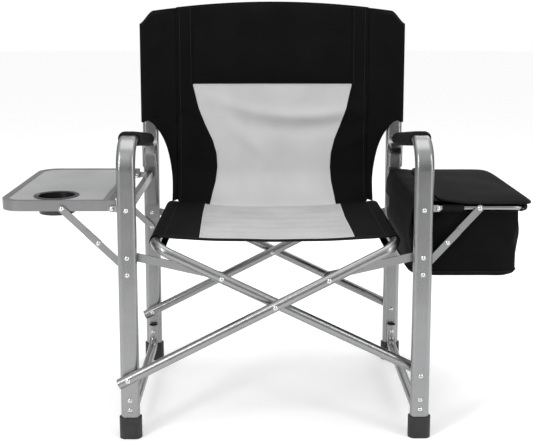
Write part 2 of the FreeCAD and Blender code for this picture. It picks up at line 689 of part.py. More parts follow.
def table_parts():
    """Rim, panel, inner bar, cup holder and the rivets of the side table."""
    outer = -mm("table_outer")
    top = mm("table_top")
    low = top - mm("table_rim")
    inner_x = -mm("hinge_span") + 7
    ring = slab(rounded_sheet(outer, inner_x, RIM_FRONT, RIM_BACK, 46), low, top)
    opening = rounded_sheet(outer + RIM_WIDE, inner_x + 5, RIM_FRONT + RIM_WIDE, RIM_BACK - RIM_WIDE, 32)
    hollow = slab(opening, low - 1, top + 1)
    rim = ring.cut(hollow)
    for reach in ("hinge_span", "table_reach"):
        start = Vector(-mm(reach), 0, mm("hinge_height"))
        rim = rim.cut(Part.makeCylinder(hole_r, 600, start, Vector(0, 1, 0)))
    rim_obj = doc.addObject("Part::Feature", "table_rim")
    rim_obj.Shape = rim
    rim_obj.Label = "table_rim_frame"
    place(rim_obj)

    bar = doc.addObject("Part::Box", "table_inner_bar")
    bar.Label = "table_inner_bar"
    bar.Length = 12
    bar.Width = RIM_BACK - RIM_FRONT - 2 * RIM_WIDE - 0.4
    bar.Height = 16
    place(bar, Vector(-mm("hinge_span") - 21, RIM_FRONT + RIM_WIDE + 0.2, top - 17))

    cup = Vector(-468, 120, 0)
    sheet_low = top - 5
    panel = slab(rounded_sheet(outer + RIM_WIDE + 0.2, -mm("hinge_span") - 21.4, RIM_FRONT + RIM_WIDE + 0.2,
                               RIM_BACK - RIM_WIDE - 0.2, 31.8), sheet_low, top - 1)
    panel = panel.cut(Part.makeCylinder(mm("cup_mouth") + 2.4, 40, Vector(cup.x, cup.y, sheet_low - 10)))
    panel_obj = doc.addObject("Part::Feature", "table_panel")
    panel_obj.Shape = panel
    panel_obj.Label = "table_panel"
    place(panel_obj)

    holder = new_body("cup_holder")
    sketch = new_sketch(holder, "section", "XZ_Plane")
    mouth = mm("cup_mouth")
    deep = -mm("cup_depth")
    flange = [(mouth - 2, 0.2), (mouth, 2.0), (mm("cup_radius"), 1.2), (mm("cup_radius"), 0.2)]
    well = [(mouth + 2, 0.2), (mouth - 3, deep), (0, deep), (0, deep + 2), (mouth - 5, deep + 2)]
    add_outline(sketch, flange + well)
    turned = holder.newObject("PartDesign::Revolution", "cup_holder_turned")
    turned.Profile = sketch
    turned.ReferenceAxis = (sketch, ["V_Axis"])
    turned.Angle = 360
    place(holder, Vector(cup.x, cup.y, top - 1))

    pins = []
    x = -mm("table_reach")
    z = mm("hinge_height")
    pins.append(rivet(x, z, BRACE_UP - 0.3, RIM_FRONT + RIM_WIDE + 0.3))
    pins.append(rivet(x, z, RIM_BACK - RIM_WIDE - 0.3, REAR_UP + mm("brace_thick") + 0.3))
    group("table_rivets", pins)


# -------------------------------------------------------------------- cool bag

def holder_rod():
    """Round rod in a wide U that carries the bag."""
    body = new_body("bag_holder_rod")
    start = mm("hinge_span") - 6
    profile = new_sketch(body, "profile", "YZ_Plane", start)
    add_circle(profile, ROD_FRONT, 0, mm("rod_dia") / 2, "sizes.rod_dia / 2")
    path = new_sketch(body, "path", "XY_Plane")
    outer = mm("holder_outer")
    route = [(start, ROD_FRONT), (outer, ROD_FRONT), (outer, ROD_BACK), (start, ROD_BACK)]
    names = rounded_path(path, route, [32, 32])
    pipe(body, profile, path, names)
    drill(body, [(mm("hinge_span"), 0), (mm("holder_reach"), 0)])
    place(body, Vector(0, 0, mm("hinge_height")))
    x = mm("holder_reach")
    z = mm("hinge_height")
    r = mm("rod_dia") / 2
    pins = [rivet(x, z, BRACE_UP - 0.3, ROD_FRONT + r + 0.2, True, False),
            rivet(x, z, ROD_BACK - r - 0.2, REAR_UP + mm("brace_thick") + 0.3, False, True)]
    group("bag_holder_rivets", pins)


BAG_FRONT = 70.0
BAG_BACK = 449.0
BAG_FLOOR = 340.0
BAG_INNER = 287.0                    # inner side, under the side rail
BAG_STEP = 320.0                     # inner side, beside the side rail
BAG_LEDGE = 466.0                    # height at which the bag steps out round the rail
BAG_OUTER = 523.0
BAG_CORNER = 34.0                    # radius of the bag's upright outer corners
LID_FRONT = 56.5                     # the lid lies between the upper braces
LID_BACK = 462.0
PULLER = (22.0, 6.0, 2.2)
PULLER_X = 515.0
PULLER_Y = 250.0


def bag_section(inset, top):
    """Stepped outline of the bag in X and Z, less an inset."""
    floor = BAG_FLOOR + inset
    inner = BAG_INNER + inset
    step = BAG_STEP + inset
    outer = BAG_OUTER - inset
    ledge = BAG_LEDGE - inset
    return [(inner, floor), (outer, floor), (outer, top), (step, top), (step, ledge), (inner, ledge)]


def bag_block(inset, top):
    """Solid block of the stepped outline with its two upright outer corners round."""
    front = BAG_FRONT + inset
    back = BAG_BACK - inset
    points = [Vector(x, front, z) for x, z in bag_section(inset, top)]
    outline = Part.Face(Part.makePolygon(points + points[:1]))
    block = outline.extrude(Vector(0, back - front, 0))
    wire = rounded_sheet(inset - BAG_OUTER, 10 - BAG_INNER, front, back, BAG_CORNER - inset)
    column = slab(wire, BAG_FLOOR - 10, top + 10).mirror(Vector(0, 0, 0), Vector(1, 0, 0))
    return block.common(column)


def bag_body():
    """Open-topped bag: outer block less the inner one."""
    top = mm("hinge_height") + 3
    bag = doc.addObject("Part::Feature", "bag_body")
    bag.Shape = bag_block(0, top).cut(bag_block(2 * mm("cloth"), top + 5))
    bag.Label = "bag_body"
    place(bag)


def bag_lid():
    """Flat padded lid over the holder, with its zip puller."""
    low = mm("hinge_height") + 8
    sheet_wire = rounded_sheet(-RIGHT_EDGE, -(mm("hinge_span") + 4), LID_FRONT, LID_BACK, 34)
    solid = slab(sheet_wire, low, low + 13)
    solid = solid.mirror(Vector(0, 0, 0), Vector(1, 0, 0))
    lid = doc.addObject("Part::Feature", "bag_lid")
    lid.Shape = solid
    lid.Label = "bag_lid"
    place(lid)
    puller = doc.addObject("Part::Box", "zip_puller")
    puller.Label = "zip_puller"
    puller.Length, puller.Width, puller.Height = PULLER
    place(puller, Vector(PULLER_X, PULLER_Y, low - PULLER[2] - 0.3))


def rail_sleeve():
    """Cloth loop of the bag round the right side rail."""
    body = new_body("bag_rail_sleeve")
    height = mm("hinge_height")
    sketch = new_sketch(body, "ring", "XZ_Plane", -66)
    for wide, tall in ((8.5, 12.5), (6.5, 10.5)):
        add_outline(sketch, [(-wide, height - tall), (wide, height - tall), (wide, height + tall),
                             (-wide, height + tall)])
    pad(body, sketch, 388, None, True)
    place(body, Vector(mm("leg_half_span"), 0, 0))


# ----------------------------------------------------------------------- cloth

def seat_parts():
    """Seat panel and the two sleeves that hold it on the seat rails."""
    rail_front = TUBE_LAYERS["cross_tube_a"]["end"] + mm("rail_bend") + 2
    length = mm("wheelbase") - 2 * mm("rail_bend") - 4
    rail_x, rail_z = along_tube("cross_tube_b", tube_reach)
    panel = doc.addObject("Part::Box", "seat_panel")
    panel.Label = "seat_panel"
    panel.Length = 2 * (mm("rail_half_span") - tube_r - mm("cloth") - 1.0)
    panel.Width = length
    panel.Height = 5
    place(panel, Vector(-panel.Length.Value / 2, rail_front, rail_z - 2.5))
    for name in TUBE_LAYERS:
        x, z = along_tube(name, tube_reach)
        start = Vector(x, rail_front, z)
        ring = Part.makeCylinder(tube_r + 0.3 + mm("cloth"), length, start, Vector(0, 1, 0))
        bore = Part.makeCylinder(tube_r + 0.3, length, start, Vector(0, 1, 0))
        feature = doc.addObject("Part::Feature", "seat_sleeve")
        feature.Shape = ring.cut(bore)
        feature.Label = "seat_sleeve_" + name[-1]
        place(feature)


def back_parts():
    """Back panel and the sleeves that slip over the rear uprights."""
    body = new_body("back_panel")
    half = mm("leg_half_span") - mm("leg_wide") / 2 - 5
    low = 440.0
    corner = mm("back_corner") - 4
    crown = mm("back_crown") - 4
    sketch = new_sketch(body, "outline", "XZ_Plane")
    cos_lean = math.cos(math.radians(mm("lean_angle")))
    low_left = Vector(-half, low / cos_lean, 0)
    low_right = Vector(half, low / cos_lean, 0)
    top_right = Vector(half, corner / cos_lean, 0)
    top_left = Vector(-half, corner / cos_lean, 0)
    middle = Vector(0, crown / cos_lean, 0)
    lines = [Part.LineSegment(low_left, low_right), Part.LineSegment(low_right, top_right),
             Part.Arc(top_right, middle, top_left), Part.LineSegment(top_left, low_left)]
    for line in lines:
        sketch.addGeometry(line)
    pad(body, sketch, 6.0, None, True)
    tilt = Rotation(Vector(1, 0, 0), -mm("lean_angle"))
    place(body, Vector(0, mm("wheelbase") - 3, 0), tilt)
    for side in SIDES:
        sleeve = new_body("back_sleeve_" + side)
        start = 660.0
        outer = new_sketch(sleeve, "outer", "XY_Plane", start)
        add_slot(outer, mm("leg_wide") + 8, mm("leg_deep") + 8, 0, leg_y(start, True))
        wall = pad(sleeve, outer, mm("back_corner") - start)
        wall.UseCustomVector = True
        wall.Direction = Vector(0, lean, 1)
        inside = []
        for height in (start - 1, mm("upright_top") + 3.6):
            level = new_sketch(sleeve, "inner%d" % height, "XY_Plane", height)
            add_slot(level, mm("leg_wide") + 1, mm("leg_deep") + 1, 0, leg_y(height, True))
            inside.append(level)
        loft(sleeve, "SubtractiveLoft", inside)
        place(sleeve, Vector(SIDES[side] * mm("leg_half_span"), 0, 0))


def build():
    """Make every sub-part."""
    for side in SIDES:
        leg_and_arm(side)
        rear_upright(side)
        runner(side)
        side_rail(side)
        boot(side, False)
        boot(side, True)
        arm_pad(side)
        rear_plate(side)
        upright_cap(side)
        frame_fasteners(side)
        for rear in (False, True):
            link(side, rear)
    for name in TUBE_LAYERS:
        cross_tube(name)
    cross_fasteners()
    table_parts()
    holder_rod()
    for kind in ("table", "bag"):
        for rear in (False, True):
            brace(kind, "lower", rear)
            brace(kind, "upper", rear)
        brace_rivets(kind)
    bag_body()
    bag_lid()
    rail_sleeve()
    seat_parts()
    back_parts()


def export():
    """Check every object and write one file for each sub-part."""
    doc.recompute()
    for item in doc.Objects:
        if "Invalid" in item.State or "Error" in item.State:
            raise RuntimeError("failed object: %s %s" % (item.Name, item.State))
    os.makedirs("parts", exist_ok=True)
    for item in sub_parts:
        shape = item.Shape
        if shape.isNull() or not shape.isValid():
            raise RuntimeError("bad shape: " + item.Label)
        shape.exportStep("parts/%s.step" % item.Label)
        print("%-28s solids %d volume %.0f" % (item.Label, len(shape.Solids), shape.Volume))


build()
export()
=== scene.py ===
"""Folding camp chair with a side table and a cooler bag: cloth, foam and finishes.

Everything is in metres. The chair stands on z = 0 and faces -Y.
"""

import logging
import math
from dataclasses import dataclass, field
from enum import Enum
from typing import Dict, Optional, Sequence, Tuple

import bmesh
import bpy
import numpy as np
from mathutils import Euler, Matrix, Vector


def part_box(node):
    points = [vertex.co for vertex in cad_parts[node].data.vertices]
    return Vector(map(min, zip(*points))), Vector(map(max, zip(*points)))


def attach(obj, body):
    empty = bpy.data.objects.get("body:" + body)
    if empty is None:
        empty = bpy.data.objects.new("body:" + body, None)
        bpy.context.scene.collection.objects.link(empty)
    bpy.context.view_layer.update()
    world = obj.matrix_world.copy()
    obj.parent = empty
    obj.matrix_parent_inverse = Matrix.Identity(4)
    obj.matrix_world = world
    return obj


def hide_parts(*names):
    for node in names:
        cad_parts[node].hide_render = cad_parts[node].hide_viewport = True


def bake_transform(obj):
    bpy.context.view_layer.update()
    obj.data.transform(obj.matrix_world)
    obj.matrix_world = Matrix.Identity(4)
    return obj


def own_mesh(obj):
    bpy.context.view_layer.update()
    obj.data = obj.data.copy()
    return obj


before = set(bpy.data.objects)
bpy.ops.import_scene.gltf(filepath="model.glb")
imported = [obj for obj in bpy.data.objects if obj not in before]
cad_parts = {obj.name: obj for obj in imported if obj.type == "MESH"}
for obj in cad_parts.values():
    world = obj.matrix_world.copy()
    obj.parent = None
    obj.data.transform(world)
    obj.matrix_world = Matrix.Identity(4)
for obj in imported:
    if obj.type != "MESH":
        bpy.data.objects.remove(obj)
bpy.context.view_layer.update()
log = logging.getLogger("camp_chair")

Array = np.ndarray


# ---------------------------------------------------------------------------
# Small numeric shapes
# ---------------------------------------------------------------------------


def smooth_step(value: Array, low: float, high: float) -> Array:
    """Cubic step: 3t^2 - 2t^3 of the clipped share of the way from low to high.

    Args:
        value: numbers to map.
        low: value that gives 0.
        high: value that gives 1.

    Returns:
        Numbers from 0 to 1, of the shape of value.
    """
    t = np.clip((np.asarray(value, float) - low) / (high - low), 0.0, 1.0)
    return t * t * (3.0 - 2.0 * t)


def bell(value: Array, centre: float, width: float) -> Array:
    """Gaussian bump: exp(-((value - centre) / width)^2).

    Args:
        value: numbers to map.
        centre: where the bump peaks.
        width: distance at which it has fallen to 1/e.

    Returns:
        Numbers from 0 to 1, of the shape of value.
    """
    return np.exp(-(((np.asarray(value, float) - centre) / width) ** 2))


def unit(vectors: Array) -> Array:
    """Vectors of the last axis scaled to length 1."""
    return vectors / np.maximum(np.linalg.norm(vectors, axis=-1, keepdims=True), 1e-12)


def run_length(line: Array) -> Array:
    """Arc length from the first point of a polyline to each of its points."""
    return np.concatenate([[0.0], np.cumsum(np.linalg.norm(np.diff(line, axis=0), axis=1))])


def at_lengths(line: Array, at: Array) -> Array:
    """Points of a polyline at given arc lengths: each coordinate is interpolated on the run.

    Args:
        line: points, one row each.
        at: arc lengths from its first point.

    Returns:
        One row for each length.
    """
    run = run_length(line)
    return np.stack([np.interp(at, run, column) for column in line.T], axis=1)


def resample(line: Array, count: int) -> Array:
    """Polyline with count points, evenly spaced by arc length."""
    return at_lengths(line, np.linspace(0.0, run_length(line)[-1], count))


def round_path(corners: Sequence[Sequence[float]], radius: float, per_turn: int = 12) -> Array:
    """Polyline whose corners are quadratic arcs, cut back by the radius on each side.

    The arc is (1-t)^2 a + 2t(1-t) corner + t^2 b, with a and b on the two runs.

    Args:
        corners: points of the path.
        radius: how far from each corner its arc starts.
        per_turn: points on each arc.

    Returns:
        Points of the rounded path, one row each.
    """
    points = np.asarray(corners, float)
    parts = [points[:1]]
    t = np.linspace(0.0, 1.0, per_turn)[:, None]
    for before, corner, after in zip(points[:-2], points[1:-1], points[2:]):
        into, out = unit(before - corner), unit(after - corner)
        a, b = corner + into * radius, corner + out * radius
        parts.append((1 - t) ** 2 * a + 2 * t * (1 - t) * corner + t ** 2 * b)
    parts.append(points[-1:])
    return np.concatenate(parts)


def slot_section(wide: float, deep: float, count: int = 40) -> Array:
    """Flat oval outline: two half circles of radius deep/2 joined by straight sides.

    Args:
        wide: whole width, along the first coordinate.
        deep: whole depth, along the second.
        count: points round it.

    Returns:
        Closed outline without its last point repeated, one row each.
    """
    turn = np.linspace(0.0, 2 * math.pi, 4 * count, endpoint=False)
    half = (wide - deep) / 2
    line = np.stack([np.cos(turn) * deep / 2 + np.sign(np.cos(turn)) * half,
                     np.sin(turn) * deep / 2], axis=1)
    return resample(np.vstack([line, line[:1]]), count + 1)[:-1]


def ring_section(radius: float, count: int = 12) -> Array:
    """Circle of count points: radius times cos and sin of even turns."""
    turn = np.linspace(0.0, 2 * math.pi, count, endpoint=False)
    return radius * np.stack([np.cos(turn), np.sin(turn)], axis=1)


def surface_normals(grid: Array) -> Array:
    """Unit normals of a grid of points: cross product of its two gradients.

    Args:
        grid: rows x columns x 3.

    Returns:
        Array of the same shape.
    """
    return unit(np.cross(np.gradient(grid, axis=1), np.gradient(grid, axis=0)))


def grid_faces(rows: int, cols: int, start: int = 0, close_rows: bool = False,
               close_cols: bool = False) -> Array:
    """Quads of a grid whose point (r, c) has the number start + r*cols + c.

    Args:
        rows: points in the first direction.
        cols: points in the second.
        start: number of the first point.
        close_rows: joins the last row to the first.
        close_cols: joins the last column to the first.

    Returns:
        Array of quads, four numbers each.
    """
    r = np.arange(rows if close_rows else rows - 1)[:, None]
    c = np.arange(cols if close_cols else cols - 1)[None, :]
    r2, c2 = (r + 1) % rows, (c + 1) % cols
    quads = np.stack([r * cols + c, r * cols + c2, r2 * cols + c2, r2 * cols + c], axis=-1)
    return quads.reshape(-1, 4) + start


# ---------------------------------------------------------------------------
# Meshes
# ---------------------------------------------------------------------------


@dataclass
class Piece:
    """One mesh object: points, quads, and at need a map in metres, point attributes and fans."""

    name: str
    points: Array
    quads: Array
    uv: Optional[Array] = None
    marks: Dict[str, Array] = field(default_factory=dict)
    fans: Optional[Array] = None

    def build(self, sharp: float = 50.0) -> bpy.types.Object:
        """Put the arrays into a mesh, merge its doubles and turn its faces outwards.

        Args:
            sharp: edges that turn by more than this many degrees stay crisp.

        Returns:
            The new object, at the origin.
        """
        mesh = bpy.data.meshes.new(self.name)
        faces = self.quads.tolist() + ([] if self.fans is None else self.fans.tolist())
        mesh.from_pydata(self.points.reshape(-1, 3).tolist(), [], faces)
        if self.uv is not None:
            layer = mesh.uv_layers.new(name="cloth_map")
            loops = np.empty(len(mesh.loops), np.int32)
            mesh.loops.foreach_get("vertex_index", loops)
            layer.data.foreach_set("uv", self.uv.reshape(-1, 2)[loops].astype(np.float32).ravel())
        for mark, values in self.marks.items():
            data = mesh.attributes.new(mark, "FLOAT", "POINT").data
            data.foreach_set("value", values.astype(np.float32).ravel())
        work = bmesh.new()
        work.from_mesh(mesh)
        bmesh.ops.remove_doubles(work, verts=work.verts, dist=1e-6)
        bmesh.ops.recalc_face_normals(work, faces=work.faces)
        work.to_mesh(mesh)
        work.free()
        mesh.shade_smooth()
        mesh.set_sharp_from_angle(angle=math.radians(sharp))
        made = bpy.data.objects.new(self.name, mesh)
        bpy.context.scene.collection.objects.link(made)
        return made


def length_map(grid: Array) -> Array:
    """Map of a grid in metres: arc length along its middle row, and along each column.

    Args:
        grid: rows x columns x 3.

    Returns:
        rows x columns x 2.
    """
    across = np.linalg.norm(np.diff(grid, axis=1), axis=2)
    across = np.concatenate([np.zeros((grid.shape[0], 1)), np.cumsum(across, axis=1)], axis=1)
    across -= across[:, grid.shape[1] // 2][:, None]
    up = np.linalg.norm(np.diff(grid, axis=0), axis=2).mean(axis=1)
    up = np.concatenate([[0.0], np.cumsum(up)])
    return np.stack([across + 0.5, np.repeat(up[:, None], grid.shape[1], axis=1)], axis=2)


def shell(name: str, grid: Array, thickness: float, bulge: Optional[Array] = None,
          marks: Optional[Dict[str, Array]] = None) -> Piece:
    """Closed sheet: the grid moved half a thickness out and in along its normals.

    The front point is P + n (t/2 + bulge) and the back point is P - n t/2.

    Args:
        name: name of the piece.
        grid: middle surface, rows x columns x 3.
        thickness: thickness of the sheet.
        bulge: extra height of the front, rows x columns.
        marks: point attributes, rows x columns each.

    Returns:
        The closed piece.
    """
    rows, cols = grid.shape[:2]
    normal = surface_normals(grid)
    lift = np.zeros((rows, cols)) if bulge is None else bulge
    front = grid + normal * (thickness / 2 + lift)[..., None]
    back = grid - normal * (thickness / 2)
    count = rows * cols
    number = np.arange(count).reshape(rows, cols)
    rim = np.concatenate([number[0, :], number[1:, -1], number[-1, :-1][::-1],
                          number[1:-1, 0][::-1]])
    after = np.roll(rim, -1)
    sides = np.stack([rim, rim + count, after + count, after], axis=1)
    quads = np.concatenate([grid_faces(rows, cols), grid_faces(rows, cols, count)[:, ::-1], sides])
    flat = length_map(grid).reshape(-1, 2)
    both = {key: np.tile(value.ravel(), 2) for key, value in (marks or {}).items()}
    return Piece(name, np.concatenate([front.reshape(-1, 3), back.reshape(-1, 3)]), quads,
                 np.concatenate([flat, flat]), both)


def closed_rings(name: str, rings: Array, flat: Array, pole_flat: Array) -> Piece:
    """Rings joined by quads, the first and last closed by fans about their mean points.

    Args:
        name: name of the piece.
        rings: points, rings x points of a ring x 3.
        flat: map of the rings, rings x points of a ring x 2.
        pole_flat: map of the two poles, one row each.

    Returns:
        The closed piece.
    """
    rows, cols = rings.shape[:2]
    total = rows * cols
    first = np.arange(cols)
    after = np.roll(first, -1)
    last = total - cols
    fans = np.concatenate([
        np.stack([first, after, np.full(cols, total)], axis=1),
        np.stack([last + after, last + first, np.full(cols, total + 1)], axis=1)])
    poles = np.stack([rings[0].mean(axis=0), rings[-1].mean(axis=0)])
    return Piece(name, np.concatenate([rings.reshape(-1, 3), poles]),
                 grid_faces(rows, cols, close_cols=True),
                 np.concatenate([flat.reshape(-1, 2), pole_flat]), fans=fans)


def carried(name: str, path: Array, section: Array, across: Sequence[float],
            ends: float = 0.0, ring: bool = False) -> Piece:
    """Profile carried along a path: P(s) + k(s) (x side(s) + y up(s)).

    Side is the across vector less its share along the path, and up is at right angles to
    both. The scale k is sqrt(1 - (1 - d/ends)^2) within ends of either end, so they are
    round and closed; on a ring it is 1.

    Args:
        name: name of the piece.
        path: points, one row each.
        section: closed outline, two coordinates a row.
        across: rough direction of the section's first coordinate.
        ends: length over which each end of an open path rounds off.
        ring: joins the path's end to its start.

    Returns:
        The closed piece.
    """
    if ring:
        scale = np.ones(len(path))
        tangent = np.roll(path, -1, axis=0) - np.roll(path, 1, axis=0)
    else:
        run = run_length(path)
        cap = ends * (1 - np.cos(np.linspace(0.0, math.pi / 2, 8)))
        middle = run[(run > ends) & (run < run[-1] - ends)]
        at = np.unique(np.concatenate([cap, middle, run[-1] - cap]))
        path = at_lengths(path, at)
        near = np.clip(np.minimum(at, at[-1] - at) / ends, 0.0, 1.0)
        scale = np.sqrt(np.maximum(1 - (1 - near) ** 2, 0.0))
        tangent = np.gradient(path, axis=0)
    tangent = unit(tangent)
    wanted = np.asarray(across, float)
    side = unit(wanted - tangent * (tangent @ wanted)[:, None])
    up = np.cross(tangent, side)
    profile = (section[None, :, 0, None] * side[:, None, :]
               + section[None, :, 1, None] * up[:, None, :])
    grid = path[:, None, :] + scale[:, None, None] * profile
    rows, cols = grid.shape[:2]
    flat = np.stack(np.broadcast_arrays(np.linspace(0, 1, rows)[:, None],
                                        np.linspace(0, 0.2, cols)[None, :]), axis=2)
    return Piece(name, grid.reshape(-1, 3), grid_faces(rows, cols, close_rows=ring, close_cols=True),
                 flat)



def stitches(name: str, line: Array, outward: Sequence[float], pitch: float = 0.0045,
             thread: float = 0.0004) -> Piece:
    """Row of stitches: a small capsule at every pitch, half sunk in the cloth.

    Each capsule is a six-sided tube of rings at -L, -0.7L, 0.7L and L along the line, with
    radii 0.3r, r, r and 0.3r, where L is 0.36 of the pitch.

    Args:
        name: name of the piece.
        line: points of the seam on the cloth.
        outward: direction away from the cloth.
        pitch: distance from stitch to stitch.
        thread: radius of the thread.

    Returns:
        The piece with every stitch in it.
    """
    total = run_length(line)[-1]
    count = max(int(total / pitch), 2)
    at = (np.arange(count) + 0.5) * total / count
    middle = at_lengths(line, at)
    ahead = at_lengths(line, np.minimum(at + pitch / 4, total))
    tangent = unit(ahead - at_lengths(line, np.maximum(at - pitch / 4, 0.0)))
    away = np.asarray(outward, float)
    up = unit(away - tangent * (tangent @ away)[:, None])
    side = np.cross(tangent, up)
    turn = np.arange(6) * math.pi / 3
    reach = 0.36 * pitch * np.array([-1.0, -0.7, 0.7, 1.0])
    wide = thread * np.array([0.3, 1.0, 1.0, 0.3])
    local = np.stack([np.repeat(reach, 6), np.outer(wide, np.cos(turn)).ravel(),
                      np.outer(wide, np.sin(turn)).ravel()], axis=1)
    axes = np.stack([tangent, side, up], axis=1)
    points = middle[:, None, :] + np.einsum("pk,ckd->cpd", local, axes)
    one = np.concatenate([grid_faces(4, 6, close_cols=True), [[0, 1, 2, 3], [0, 3, 4, 5]],
                          [[18, 19, 20, 21], [18, 21, 22, 23]]])
    quads = (one[None] + 24 * np.arange(count)[:, None, None]).reshape(-1, 4)
    return Piece(name, points.reshape(-1, 3), quads)


# ---------------------------------------------------------------------------
# Shader node groups
# ---------------------------------------------------------------------------


class Graph:
    """Adds and links the nodes of one shader tree."""

    def __init__(self, tree: bpy.types.NodeTree) -> None:
        """Keep the tree that nodes go into."""
        self.tree = tree

    def feed(self, socket: bpy.types.NodeSocket, given: object) -> None:
        """Give an input its source: a link from a socket, or else a value of its own."""
        if isinstance(given, bpy.types.NodeSocket):
            self.tree.links.new(given, socket)
        else:
            socket.default_value = given

    def add(self, kind: str, inputs: Optional[Dict] = None, **settings: object) -> bpy.types.Node:
        """Add a node, set its properties and feed its inputs.

        Args:
            kind: node type, such as ShaderNodeMath.
            inputs: sockets or values by the name or number of the input.
            **settings: properties to set.

        Returns:
            The new node.
        """
        node = self.tree.nodes.new(kind)
        for key, value in settings.items():
            setattr(node, key, value)
        for key, given in (inputs or {}).items():
            self.feed(node.inputs[key], given)
        return node

    def math(self, operation: str, *operands: object) -> bpy.types.NodeSocket:
        """Result of a Math node fed by sockets or numbers."""
        return self.add("ShaderNodeMath", dict(enumerate(operands)), operation=operation).outputs[0]

    def vector(self, operation: str, *operands: object) -> bpy.types.NodeSocket:
        """Result of a Vector Math node fed by sockets or vectors."""
        node = self.add("ShaderNodeVectorMath", dict(enumerate(operands)), operation=operation)
        return node.outputs["Value" if operation == "DISTANCE" else "Vector"]

    def scaled(self, vector: bpy.types.NodeSocket, factor: object) -> bpy.types.NodeSocket:
        """Vector times a number."""
        node = self.add("ShaderNodeVectorMath", {0: vector, "Scale": factor}, operation="SCALE")
        return node.outputs["Vector"]


def new_group(name: str, values: Dict[str, float],
              outputs: Sequence[str]) -> Tuple[Graph, bpy.types.NodeOutputs, bpy.types.NodeInputs]:
    """Empty node group with a Vector input, named number inputs and number outputs.

    Args:
        name: name of the group.
        values: defaults of its number inputs, by name.
        outputs: names of its number outputs.

    Returns:
        Its graph, what is given to it and where its results go.
    """
    tree = bpy.data.node_groups.new(name, "ShaderNodeTree")
    tree.interface.new_socket("Vector", in_out="INPUT", socket_type="NodeSocketVector")
    for socket, value in values.items():
        made = tree.interface.new_socket(socket, in_out="INPUT", socket_type="NodeSocketFloat")
        made.default_value = value
    for socket in outputs:
        tree.interface.new_socket(socket, in_out="OUTPUT", socket_type="NodeSocketFloat")
    graph = Graph(tree)
    return graph, graph.add("NodeGroupInput").outputs, graph.add("NodeGroupOutput").inputs


def weave_group() -> bpy.types.NodeTree:
    """Plain weave: each cell is one thread over the other, so height is a chequer of ridges.

    Height = |sin(pi u n)| where the cell is even and |sin(pi v n)| where it is odd. Shade is
    slow noise for uneven dye.

    Returns:
        The node group.
    """
    graph, given, result = new_group("weave", {"Threads": 900.0}, ["Height", "Shade"])
    axes = graph.add("ShaderNodeSeparateXYZ", {0: graph.scaled(given["Vector"], given["Threads"])})
    ridges = [graph.math("ABSOLUTE", graph.math("SINE", graph.math("MULTIPLY", axis, math.pi)))
              for axis in axes.outputs[:2]]
    cell = graph.math("ADD", *[graph.math("FLOOR", axis) for axis in axes.outputs[:2]])
    odd = graph.math("PINGPONG", cell, 1.0)
    even = graph.math("SUBTRACT", 1.0, odd)
    graph.feed(result["Height"], graph.math("ADD", graph.math("MULTIPLY", ridges[0], odd),
                                            graph.math("MULTIPLY", ridges[1], even)))
    noise = graph.add("ShaderNodeTexNoise", {"Vector": given["Vector"], "Scale": 9.0, "Detail": 3.0,
                                             "Roughness": 0.55})
    graph.feed(result["Shade"], noise.outputs["Fac"])
    return graph.tree


def net_group() -> bpy.types.NodeTree:
    """Air mesh: round holes on a staggered grid.

    Hole is 1 inside a circle about the nearest of two interleaved square grids of points.

    Returns:
        The node group.
    """
    graph, given, result = new_group("air_net", {"Holes": 380.0, "Size": 0.26}, ["Hole", "Height"])
    scaled = graph.scaled(given["Vector"], given["Holes"])
    masks = []
    for offset in (0.0, 0.5):
        cell = graph.vector("FRACTION", graph.vector("ADD", scaled, (offset, offset, 0.0)))
        flat = graph.vector("MULTIPLY", cell, (1.0, 1.0, 0.0))
        apart = graph.vector("DISTANCE", flat, (0.5, 0.5, 0.0))
        span = graph.add("ShaderNodeMapRange", {"Value": apart, "From Min": 0.12,
                                                "From Max": given["Size"], "To Min": 1.0,
                                                "To Max": 0.0}, interpolation_type="SMOOTHSTEP")
        masks.append(span.outputs[0])
    hole = graph.math("MAXIMUM", *masks)
    graph.feed(result["Hole"], hole)
    graph.feed(result["Height"], graph.math("SUBTRACT", 1.0, hole))
    return graph.tree


def grain_group() -> bpy.types.NodeTree:
    """Fine grain: noise of one scale for height, and a twenty times coarser one for colour.

    Returns:
        The node group.
    """
    graph, given, result = new_group("grain", {"Scale": 900.0}, ["Height", "Shade"])
    for socket, factor, detail in (("Height", 1.0, 2.0), ("Shade", 0.05, 4.0)):
        noise = graph.add("ShaderNodeTexNoise", {
            "Vector": given["Vector"], "Scale": graph.math("MULTIPLY", given["Scale"], factor),
            "Detail": detail, "Roughness": 0.6})
        graph.feed(result[socket], noise.outputs["Fac"])
    return graph.tree


def wear_group() -> bpy.types.NodeTree:
    """Handling marks: stretched noise cut to thin scratches, over soft smudges.

    Scratch is 1 where |noise - 0.5| is under a thin limit; Smudge is slow noise.

    Returns:
        The node group.
    """
    graph, given, result = new_group("handling_wear", {"Scale": 14.0, "Thin": 0.006},
                                     ["Scratch", "Smudge"])
    marks, patches = (graph.add("ShaderNodeTexNoise", {
        "Vector": given["Vector"], "Scale": graph.math("MULTIPLY", given["Scale"], factor),
        "Detail": detail, "Distortion": distortion}).outputs["Fac"]
        for factor, detail, distortion in ((3.0, 1.0, 0.6), (1.0, 3.0, 0.0)))
    off = graph.math("ABSOLUTE", graph.math("SUBTRACT", marks, 0.5))
    thin = graph.math("LESS_THAN", off, given["Thin"])
    where = graph.math("GREATER_THAN", patches, 0.56)
    graph.feed(result["Scratch"], graph.math("MULTIPLY", thin, where))
    graph.feed(result["Smudge"], patches)
    return graph.tree


class Effects:
    """The shared effects, each made once."""

    def __init__(self) -> None:
        """Build every node group, and start the list of materials."""
        self.made: Dict[str, bpy.types.Material] = {}
        self.weave = weave_group()
        self.net = net_group()
        self.grain = grain_group()
        self.wear = wear_group()


# ---------------------------------------------------------------------------
# Finishes
# ---------------------------------------------------------------------------


Colour = Tuple[float, float, float]


